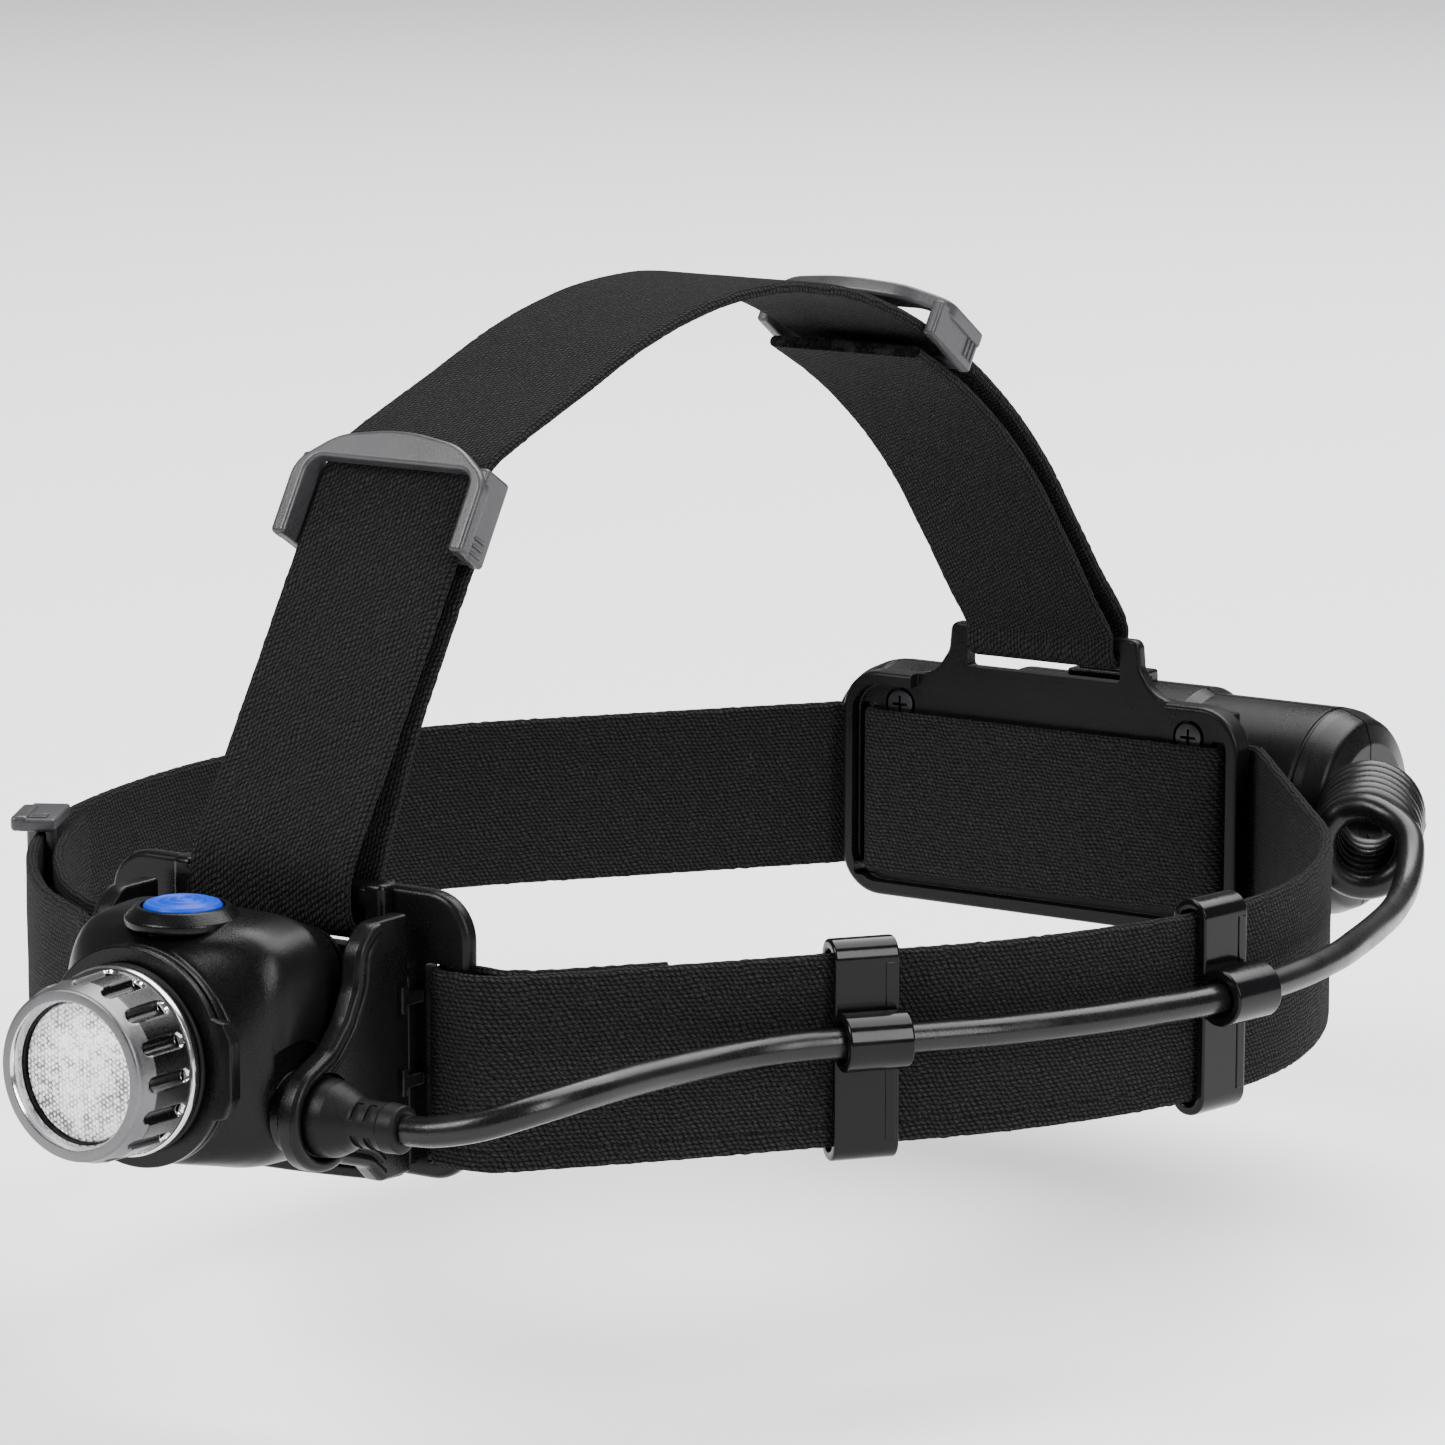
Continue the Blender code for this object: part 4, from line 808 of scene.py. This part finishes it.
def lamp_housing():
    def mouth(y, radius):
        return (y, radius, LAMP_Z - radius, LAMP_Z + radius, 2.0)

    rear = [(HOUSING_REAR, 14.0, -7.4, 17.2, 5), (HOUSING_REAR - 0.4, 14.4, -7.8, 17.6, 5),
            (-108.9, 16.9, -10.9, 20.2, 5)]
    front = [(-109.3, 17.0, -11.0, 20.3, 5.0), (-113.0, 17.0, -11.0, 20.2, 4.8),
             (-116.4, 16.9, -10.9, 19.9, 4.4), (-118.6, 16.2, -10.5, 19.2, 3.8),
             (-120.2, 15.2, -10.3, 18.6, 3.1), (-121.5, 14.2, -10.1, 18.0, 2.5),
             mouth(-122.6, 13.6), mouth(-123.3, 13.5)]
    inner = [mouth(-123.3, 10.1), mouth(-121.2, 10.1), (-116.5, 15.2, -9.2, 18.2, 4.6),
             (-109.2, 15.2, -9.2, 18.4, 5), (HOUSING_REAR, 12.6, -6.0, 15.8, 5)]
    rings = [squircle(*row) for row in rear + eased(front) + inner]
    housing = skin("lamp_housing_moulding", rings, closed=True)
    rim_profile = [(0, 21.3), (5.9, 21.3, 0.5), (6.6, 20.6, 0.8), (7.3, 19.9, 0.6), (7.3, 18.8), (0, 18.8)]
    rim = turned("rim", rim_profile, BUTTON_CENTRE, Z, 0.4)
    hubs = [rod_x(5.2, 16.0, 20.6, PIVOT, 60, 0.3), rod_x(4.6, -18.1, -14.6, PIVOT, 48, 0.3)]
    posts = [rod_y(2.2, HOUSING_REAR - 0.4, -108.6, (x * 1.05, z), 28) for x, z in CORNERS]
    recess = turned("recess", [(9.0, 1.0), (9.0, -0.8), (5.2, -0.8), (5.2, 1.0)], (17.0, *PIVOT), X, 0.3)
    bores = [rod_y(1.0, HOUSING_REAR + 1, -107.5, corner, 20) for corner in CORNERS]
    bores += [rod(5.3, (0, BUTTON_CENTRE[1], 16), (0, BUTTON_CENTRE[1], 23), 72),
              rod_x(2.6, 13, 22, PIVOT), rod_x(1.5, -20, -12, PIVOT)]
    combine(housing, [rim, *posts], [recess])
    combine(housing, hubs, bores)
    piece(housing, BLACK, "lamp_head", "moulded_black", "lamp_housing")


def crossed_screw(name, node, body, profile, centre, axis, head_at, reach):
    """A turned screw with a cross recess in its head."""
    screw = turned(name, profile, centre, axis, 0.15, 40)
    for width, depth in ((reach, 0.22), (0.22, reach)):
        arm = block((-width, -depth, head_at - 0.7), (width, depth, head_at + 1.0), 0.08)
        arm.data.transform(seat(centre, axis))
        combine(screw, cut=[arm])
    piece(screw, DARK_STEEL, body, "steel", node)


def back_cover():
    keys = [(0.3, 14.2, -7.6, 17.4), (0.8, 14.2, -7.6, 17.4), (1.2, 13.9, -7.3, 17.1),
            (1.5, 13.4, -6.8, 16.6), (1.6, 12.9, -6.3, 16.1)]
    rings = [squircle(HOUSING_REAR + out, width, low, high, 5) for out, width, low, high in keys]
    cover = skin("back_cover_moulding", rings)
    bores = []
    for corner in CORNERS:
        bores.append(rod_y(1.0, HOUSING_REAR - 1, HOUSING_REAR + 3, corner, 24))
        bores.append(rod_y(1.9, HOUSING_REAR + 0.9, HOUSING_REAR + 3, corner, 32))
    grooves = [block((-9.0, HOUSING_REAR + 1.25, z - 0.35), (9.0, HOUSING_REAR + 3, z + 0.35), 0.2)
               for z in (1.0, 3.0, 5.0, 7.0, 9.0)]
    combine(cover, cut=bores + grooves)
    piece(cover, BLACK, "lamp_head", "moulded_black", "back_cover")
    for i, (x, z) in enumerate(CORNERS, 1):
        shank = [(0, 5.0), (0.7, 5.0), (0.7, -1.0), (1.6, -1.0), (1.6, -1.7), (0, -1.7)]
        crossed_screw(f"cover_screw_{i}", f"back_cover_screw_{i}", "lamp_head", shank,
                      (x, HOUSING_REAR + GAP, z), FORWARD, -1.6, 0.95)


def collar_ring():
    profile = [(10.3, 129.6), (10.9, 129.6), (10.9, 126.0, 0.1), (13.9, 126.0), (13.9, 125.0, 0.1),
               (13.5, 124.9, 0.1), (13.5, 124.6, 0.1), (13.9, 124.5, 0.1), (13.9, 123.6), (10.3, 123.6)]
    collar = turned("collar_ring_moulding", profile, OPTICAL_AXIS, FORWARD, 0.3, 120)
    ears = []
    for side in (-1, 1):
        ear = [(11.6, -6.6), (14.0, -6.0), (15.3, -3.6), (15.3, 3.6), (14.0, 6.0), (11.6, 6.6)]
        outline = rounded([(side * x, LAMP_Z + z) for x, z in ear], 0.5)
        ears.append(slab("ear", outline, -126.0, -125.0, "Y", 0.25))
        ears.append(slab("ear", inset(anticlockwise(outline), 0.35), -125.2, -123.6, "Y", 0.25))
    combine(collar, ears, [rod_y(10.35, -130, -123, (0, LAMP_Z), 120)])
    piece(collar, BLACK, "lamp_head", "moulded_black", "collar_ring")
    section = [tuple(p) + (0.0,) for p in arc((11.5, 126.8), 0.45, 0, 330, 11)]
    seal = turned("bezel_seal_ring", section, OPTICAL_AXIS, FORWARD, 0.0, 96)
    piece(seal, RUBBER, "lamp_head", "black_rubber", "bezel_o_ring")


def focus_bezel():
    """The bezel: a wide satin rim, ball-nosed grip flutes in a side painted darker as shade, painted
    highlights at the flutes' rear ends, and a bright polished ring at the back.
    """
    flutes, samples, rows = 16, 24, 34
    steps, pitch = flutes * samples, 360.0 / flutes
    mill, depth, flute_front, flute_rear = 1.0, 0.85, 135.4, 130.3
    side_front, side_rear, shoulder = 137.2, 129.1, 2.0
    # Material slots: 1 is the polished aluminium, also a painted highlight at the flutes' rear ends; 2 is the
    # darker copy, painted shade.
    bright, dark = 1, 2

    def off_flute(angle, radius, along):
        """How far a point is from the nearest flute's centre line, in radii of the mill that cuts it."""
        turn = (angle + pitch / 2) % pitch - pitch / 2
        past = max(along - flute_front, flute_rear - along, 0.0)
        return math.hypot(math.radians(turn) * radius, past) / mill

    def ring(radius, along, fluted=False):
        points = []
        for i in range(steps):
            a, r = 2 * math.pi * i / steps, radius
            if fluted:
                r -= depth * max(0.0, 1 - off_flute(math.degrees(a), radius, along) ** 2.6)
            points.append((r * math.cos(a), -along, LAMP_Z + r * math.sin(a)))
        return points

    front = ((9.35, 138.0), (10.35, 138.0), (10.55, 137.93), (10.7, 137.72), (10.78, 137.4))
    rear = ((11.62, 129.0), (11.82, 128.95), (11.9, 128.8), (11.9, 127.95), (11.82, 127.75), (11.7, 127.7))
    inside = ((11.2, 127.7), (11.2, 130.0), (9.6, 130.0), (9.6, 136.3), (8.9, 136.3), (8.9, 136.5),
              (9.2, 137.85))
    side = []
    for i in range(rows + 1):
        back = (side_front - side_rear) * i / rows
        radius = 10.8 + 0.5 * min(back / shoulder, 1.0) + 0.25 * i / rows
        side.append(ring(radius, side_front - back, fluted=True))
    rings = [ring(*place) for place in front] + side + [ring(*place) for place in rear + inside]
    bezel = skin("focus_bezel_machined", rings, closed=True)
    piece(bezel, BLASTED, "bezel", "grey_aluminium", "focus_bezel")
    for finish in (POLISHED, PAINTED_SHADE_ALUMINIUM):
        bezel.data.materials.append(finish)
    for face in bezel.data.polygons:
        x, along, z = face.center.x / MM, -face.center.y / MM, face.center.z / MM - LAMP_Z
        radius = math.hypot(x, z)
        in_flute = off_flute(math.degrees(math.atan2(z, x)) % 360, radius, along) < 1
        on_side = side_rear - 0.05 < along < side_front + 0.1 and radius > 9.9
        rear_ring = along < side_rear - 0.05 and radius > 11.3
        lens_seat = along > 136.4 and radius < 9.34
        # The flutes' rear ends get the polished finish as a painted highlight.
        flute_end_highlight = on_side and in_flute and along < flute_rear - 0.35
        if rear_ring or lens_seat or flute_end_highlight:
            face.material_index = bright
        # The fluted band, lands and flutes alike, gets the darker copy as painted shade.
        elif on_side and (in_flute or along < 135.3):
            face.material_index = dark


def lens():
    """The optic, its front face pressed with close-packed small domes."""
    radius, dome_height, steps, rows = 8.75, 0.13, 300, 96

    def dome(x, z):
        turns = (x, x / 2 + z * ROW_LEAN, x / 2 - z * ROW_LEAN)
        waves = sum(math.cos(2 * math.pi * turn / DOME_PITCH) for turn in turns)
        return dome_height * (waves + 1.5) / 4.5

    def circle(r):
        angles = [2 * math.pi * i / steps for i in range(steps)]
        return [(r * math.cos(a), r * math.sin(a)) for a in angles]

    rings = [[(0.0, -135.75, LAMP_Z)]]
    for k in range(1, rows + 1):
        r = (radius - 0.25) * k / rows
        crown = -135.7 + 0.25 * (r / radius) ** 2
        rings.append([(x, crown - dome(x, z), LAMP_Z + z) for x, z in circle(r)])
    back = ((8.74, 135.3), (8.75, 135.1), (8.75, 132.7), (8.3, 132.6), (7.0, 132.4), (4.0, 131.9),
            (1.0, 131.7))
    for r, along in back:
        rings.append([(x, -along, LAMP_Z + z) for x, z in circle(r)])
    rings.append([(0.0, -131.7, LAMP_Z)])
    piece(skin("facet_lens", rings), LENS, "lens_group", "clear_lens", "lens")
    profile = [(8.8, 136.0), (9.3, 136.0), (9.3, 127.4), (8.3, 127.4), (8.3, 132.3), (8.8, 132.3)]
    carrier = turned("lens_carrier_moulding", profile, OPTICAL_AXIS, FORWARD, 0.12, 96)
    piece(carrier, BLACK, "lens_group", "moulded_black", "lens_carrier")


def power_button():
    """The rubber cap: a low dome with ripples round its middle."""
    radius, crown, spacing, rows = 4.6, 0.45, 1.25, 40
    dome = []
    for k in range(rows + 1):
        r = radius * k / rows
        ripple = 0.17 * math.cos(2 * math.pi * r / spacing) * (1 - (r / radius) ** 6)
        dome.append((r, 22.1 - crown * (r / radius) ** 2 + ripple, 0.0))
    skirt = [(4.9, 21.3, 0.2), (4.95, 19.0), (1.4, 19.0), (1.4, 18.1), (0, 18.1)]
    cap = turned("power_button_cap", dome + skirt, BUTTON_CENTRE, Z, 0.2, 96)
    piece(cap, BLUE, "button", "blue_rubber", "power_button")


def strain_relief(name, node, body, profile, centre, axis, slots):
    """A moulded cable entry, its barrel cut by rows of slots like those that let the real boot bend."""
    relief = turned(name, profile, centre, axis, 0.3, 64)
    cuts = []
    for along in slots:
        for quarter in range(4):
            spin = Matrix.Rotation(math.radians(45 + 90 * quarter), 4, "Z")
            notch = block((2.35, -1.35, along - 0.55), (4.5, 1.35, along + 0.55), 0.25)
            notch.data.transform(seat(centre, axis) @ spin)
            cuts.append(notch)
    combine(relief, cut=cuts)
    piece(relief, RUBBER, body, "black_rubber", node)


def head_fittings():
    profile = [(0, 33.0), (2.3, 33.0), (3.0, 32.8, 0.4), (3.15, 30.6, 0.4), (2.95, 30.4, 0.2),
               (3.0, 26.2, 0.8), (3.9, 24.9, 1.2), (4.7, 23.3, 1.0), (4.95, 21.6, 0.5), (4.95, 20.9, 0.2),
               (2.3, 20.9), (2.3, 15.5), (0, 15.5)]
    slots = (27.1, 29.1)
    strain_relief("head_cable_boot", "head_strain_relief", "lamp_head", profile, PIVOT_CENTRE, X, slots)
    screw = [(0, 22.4), (3.6, 22.4), (4.4, 21.9), (4.4, 21.2), (3.1, 21.2), (3.1, 18.4), (1.2, 18.4),
             (1.2, 12.5), (0, 12.5)]
    crossed_screw("tilt_pivot_screw", "pivot_screw", "lamp_head", screw, PIVOT_CENTRE, -X, 22.3, 1.9)


# ---- rear bracket and battery case --------------------------------------------------------------
CASE_Y, CASE_Z, CASE_RADIUS, CASE_HALF, RELIEF_Y = 110.0, 0.5, 15.5, 44.0, 104.4
CASE_TOP, DOOR_HINGE = CASE_Z + CASE_RADIUS, (CASE_Y, -18.2)
PLATE_LOW, PLATE_HIGH, SCREW_X, SCREW_Z = -16.0, 18.4, 25.0, 13.4


def rear_bracket():
    rim_face = REAR_Y[0] - 1.9
    outline = rounded(rectangle(34.3, PLATE_LOW, PLATE_HIGH), 6.5, count=10)
    plate = slab("rear_bracket_moulding", outline, rim_face, REAR_Y[1], "Y", 0.8, 5)
    gusset = [(-24.0, 15.0), (24.0, 15.0), (24.0, 18.0, 1.0), (19.0, 19.0, 4.0), (16.6, 22.5, 3.0),
              (16.2, 26.9, 1.4), (-16.2, 26.9, 1.4), (-16.6, 22.5, 3.0), (-19.0, 19.0, 4.0),
              (-24.0, 18.0, 1.0)]
    loop = slab("top_loop", rounded(gusset, 1.0, count=6), *REAR_Y, "Y", 0.6, 4)
    inner = rounded(rectangle(32.4, PLATE_LOW + 2, PLATE_HIGH - 2), 4.5, count=8)
    pocket = slab("pocket", inner, rim_face - 1, REAR_Y[0], "Y", 0.3)
    cuts = [pocket, block((-22.0, rim_face - 1, 16.0), (22.0, REAR_Y[0], 19.0), 0.3, "Y"),
            block((-13.2, 86, 20.3), (13.2, 93, REAR_BAR_Z), 0.5, "Y")]
    cuts += both_sides(28.8, 32.0, (86, 93), (-13.2, 13.2), 0.5, "Y")
    for side in (-1, 1):
        cuts.append(rod_y(1.4, 86, 93, (side * SCREW_X, SCREW_Z), 28))
        cuts.append(rod_y(2.6, 86, REAR_Y[0] + 1.1, (side * SCREW_X, SCREW_Z), 48))
        word = "left" if side > 0 else "right"
        shank = [(0, 98.6), (1.0, 98.6), (1.0, 89.8), (2.2, 89.8), (2.2, 88.8), (0, 88.8)]
        crossed_screw(f"bracket_screw_{word}", f"rear_bracket_screw_{word}", "headset", shank,
                      (side * SCREW_X, 0, SCREW_Z), Y, 88.9, 1.3)
    combine(plate, [loop], cuts)
    piece(plate, BLACK, "headset", "moulded_black", "rear_bracket")


def case_body(name):
    """The whole case as one turned shell, before it is split into tray and door."""
    half = [(10.6, CASE_HALF, 1.4), (13.9, CASE_HALF - 1.0, 1.5), (15.2, CASE_HALF - 4.0, 2.5),
            (CASE_RADIUS - 0.05, 38.6, 0.1), (CASE_RADIUS - 0.3, 38.4, 0.1), (CASE_RADIUS - 0.3, 38.0, 0.1),
            (CASE_RADIUS, 37.8, 0.1), (CASE_RADIUS, 17.6, 0.6), (CASE_RADIUS + 0.9, 16.0, 0.6)]
    profile = [(0, CASE_HALF)] + half + [(r, -a, d) for r, a, d in reversed(half)] + [(0, -CASE_HALF)]
    return turned(name, profile, (0, CASE_Y, CASE_Z), X, 0.5, 120)


def case_hollow():
    half = [(0, 42.0), (10.5, 42.0), (12.8, 40.6), (13.7, 37.5)]
    return turned("hollow", half + [(r, -a) for r, a in reversed(half)], (0, CASE_Y, CASE_Z), X, 0.6, 96)


def battery_tray():
    tray = case_body("battery_tray_moulding")
    combine(tray, cut=[case_hollow()])
    face = REAR_Y[1] + GAP
    pads = [block((-20, face, -11.0), (20, 95.6, 9.5), 0.6)]
    cuts = [rod_x(1.0, -24, 24, DOOR_HINGE, 24), rod_x(2.5, 38, 48, (RELIEF_Y, CASE_Z), 32)]
    for x in (-SCREW_X, SCREW_X):
        pads.append(block((x - 3, face, SCREW_Z - 3), (x + 3, 99.4, SCREW_Z + 2.6), 0.5))
        cuts.append(rod_y(1.4, 91, 98.9, (x, SCREW_Z), 24))
    knuckles, low = [], DOOR_HINGE[1] - 1.2
    for near, far in ((12.0, 20.0), (-20.0, -12.0)):
        knuckles.append(rod_x(1.9, near, far, DOOR_HINGE, 36, 0.25))
        knuckles.append(block((near, CASE_Y - 5.0, low), (far, CASE_Y - 1.0, -14.6), 0.3, "X"))
    combine(tray, pads, [block((-60, CASE_Y - GAP / 2, -30), (60, 140, 30), 0.0)])
    combine(tray, knuckles, cuts)
    piece(tray, BLACK, "headset", "moulded_black", "battery_tray")


def battery_door():
    door = case_body("battery_door_moulding")
    combine(door, cut=[case_hollow(), block((-60, 80, -30), (60, CASE_Y + GAP / 2, 30), 0.0)])
    extra = [rod_x(1.9, -11.7, 11.7, DOOR_HINGE, 36, 0.25),
             block((-11.7, CASE_Y + 0.6, DOOR_HINGE[1] - 1.2), (11.7, CASE_Y + 5.0, -14.6), 0.3, "X"),
             block((-6, CASE_Y - 4.0, CASE_TOP + 1.2), (6, CASE_Y + 3.0, CASE_TOP + 2.4), 0.4),
             block((-6, CASE_Y + 0.6, CASE_TOP - 0.6), (6, CASE_Y + 3.0, CASE_TOP + 1.8), 0.3)]
    for i in range(4):
        y = CASE_Y - 2.6 + 1.3 * i
        extra.append(block((-4.6, y - 0.25, CASE_TOP + 2.2), (4.6, y + 0.25, CASE_TOP + 2.7), 0.15))
    combine(door, extra, [rod_x(1.0, -13, 13, DOOR_HINGE, 24)])
    piece(door, BLACK, "door", "moulded_black", "battery_door")


def case_fittings():
    profile = [(0, 50.9), (2.3, 50.9), (2.9, 50.6, 0.3), (3.15, 46.8, 0.5), (3.8, 45.8, 0.4),
               (3.8, 44.3, 0.2), (2.2, 44.3), (2.2, 41.0), (0, 41.0)]
    centre = (0, RELIEF_Y, CASE_Z)
    strain_relief("case_cable_boot", "case_strain_relief", "headset", profile, centre, X, (48.6,))


def hidden_pieces():
    """Inner pieces whose CAD shapes are right: they only need their materials."""
    finishes = {
        PLAIN_METAL: ["heat_sink"],
        BOARD: ["led_board", "driver_board", "case_board"],
        EMITTER: ["led_emitter"],
        STEEL: ["tactile_switch", "contact_spring", "positive_contact", "negative_contact", "door_hinge_pin"],
        RUBBER: ["button_seal", "door_gasket"],
        WRAP: ["battery_cell"],
    }
    for finish, nodes in finishes.items():
        for node in nodes:
            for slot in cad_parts[node].material_slots:
                slot.material = finish


# ---- lead ---------------------------------------------------------------------------------------
LEAD_ROUTE = [(33.3, -114.5, -3.0), (37.5, -114.4, -2.6), (43.0, -112.8, -1.4), (47.8, -108.6, 0.3),
              (50.6, -102.0, 1.3), (52.0, -94.0, 1.6), (53.2, -85.0, 1.5), (55.2, -76.8, 1.6),
              (58.1, -70.8, 1.8), (61.8, -66.0, 2.0), (65.9, -60.6, 2.0), (70.8, -54.3, 2.0),
              (76.8, -45.8, 2.0), (82.9, -34.5, 2.0), (87.9, -21.8, 2.0), (89.6, -15.6, 2.0),
              (90.8, -9.0, 2.0), (91.3, -3.0, 2.0), (91.4, 6.0, 2.1), (90.2, 16.0, 2.1), (87.7, 26.0, 1.9),
              (84.4, 37.0, 1.4), (81.2, 47.5, 1.3), (77.8, 57.3, 2.1), (74.4, 65.6, 4.6), (71.6, 70.0, 7.2),
              (67.9, 71.9, 8.9)]
TAIL_ROUTE = [(55.6, 101.75, 1.5), (54.6, 103.2, 1.2), (53.1, 104.15, 0.7), (51.2, RELIEF_Y, CASE_Z)]
COIL_START = Vector((62.5, 74.5, 4.0))
COIL_AXIS = Vector((-11.0, 22.0, 0.0)).normalized()
COIL_SIDE = Vector((COIL_AXIS.y, -COIL_AXIS.x, 0.0))
COIL_RADIUS, COIL_PITCH, COIL_TURNS = 6.05, 4.1, 6.8


def on_coil(degrees, radius, along):
    """A point at an angle from the coil's right side, upward, round its axis."""
    a = math.radians(degrees)
    return COIL_START + COIL_AXIS * along + (COIL_SIDE * math.cos(a) + Z * math.sin(a)) * radius


def lead():
    """The lead: from the lamp beside the headband, wound into its coil, and into the battery case."""
    first_along, first_angle, last_angle = -2.6, 120, 360 * COIL_TURNS - 3
    points = [Vector(p) for p in LEAD_ROUTE] + [on_coil(88, COIL_RADIUS, -2.8)]
    count = round((last_angle - first_angle) / 15)
    for i in range(count + 1):
        angle = first_angle + (last_angle - first_angle) * i / count
        points.append(on_coil(angle, COIL_RADIUS, first_along + COIL_PITCH * angle / 360))
    end_along = first_along + COIL_PITCH * last_angle / 360
    points.append(on_coil(last_angle + 28, 6.1, end_along + 0.9))
    points += [Vector(p) for p in TAIL_ROUTE]
    line = smooth(points, 1.2)
    curve = bpy.data.curves.new("lead", "CURVE")
    curve.dimensions = "3D"
    spline = curve.splines.new("POLY")
    spline.points.add(len(line) - 1)
    for slot, point in zip(spline.points, line):
        slot.co = (*(point * MM), 1.0)
    curve.bevel_depth = CABLE_RADIUS * MM
    curve.bevel_resolution = 4
    curve.use_fill_caps = True
    cord = new_object("lead", curve)
    piece(cord, JACKET, "headset", "cable_jacket", "lamp_cable", "cable_coil", "case_cable")
    round(length_of(line) * MM, 3)


# ---- studio -------------------------------------------------------------------------------------
def camera():
    """A long lens in front of the wearer's left cheek, a little above the headband."""
    azimuth, elevation, distance = math.radians(34.0), math.radians(12.0), 0.9015
    data = bpy.data.cameras.new("camera")
    data.lens, data.sensor_width = 162.56, 36.0
    data.shift_x, data.shift_y = 0.0101, 0.131
    data.clip_start, data.clip_end = 0.05, 50.0
    back = Vector((math.sin(azimuth) * math.cos(elevation), -math.cos(azimuth) * math.cos(elevation),
                   math.sin(elevation)))
    thing = new_object("camera", data)
    thing.location = back * distance
    thing.rotation_euler = (-back).to_track_quat("-Z", "Y").to_euler()
    bpy.context.scene.camera = thing


def softbox(place, size, watts):
    data = bpy.data.lights.new("softbox", "AREA")
    data.shape, data.size, data.size_y, data.energy = "RECTANGLE", size[0], size[1], watts
    thing = new_object("softbox", data)
    thing.location = place
    thing.rotation_euler = (-Vector(place)).to_track_quat("-Z", "Y").to_euler()


# A head holds the headlamp up, so the floor is low enough for the open door and the lamp tilted down.
FLOOR_DROP = 32.0


def studio():
    world = bpy.data.worlds.new("studio")
    world.use_nodes = True
    background = world.node_tree.nodes["Background"]
    background.inputs["Color"].default_value = (0.97, 0.98, 1.0, 1.0)
    background.inputs["Strength"].default_value = 0.2
    bpy.context.scene.world = world
    softbox((-0.5, -1.1, 1.0), (0.6, 0.6), 30)
    softbox((1.2, -0.4, 0.7), (0.35, 0.9), 18)
    softbox((0.1, 1.0, 2.0), (2.4, 2.0), 150)
    bm = bmesh.new()
    bmesh.ops.create_circle(bm, cap_ends=True, radius=6000.0, segments=96)
    bmesh.ops.translate(bm, vec=(0, 0, cad_low.z / MM - FLOOR_DROP), verts=bm.verts)
    floor = to_object("floor", bm)
    paper = Finish("floor_paper", (0.93, 0.93, 0.94), 0.75).grain(300.0, 0.0001, 0.2)
    floor.data.materials.append(paper.material)


camera()
lead()
straps_and_fittings()
front_bracket()
tilt_cradle()
lamp_housing()
back_cover()
collar_ring()
focus_bezel()
lens()
power_button()
head_fittings()
rear_bracket()
battery_tray()
battery_door()
case_fittings()
hidden_pieces()
studio()
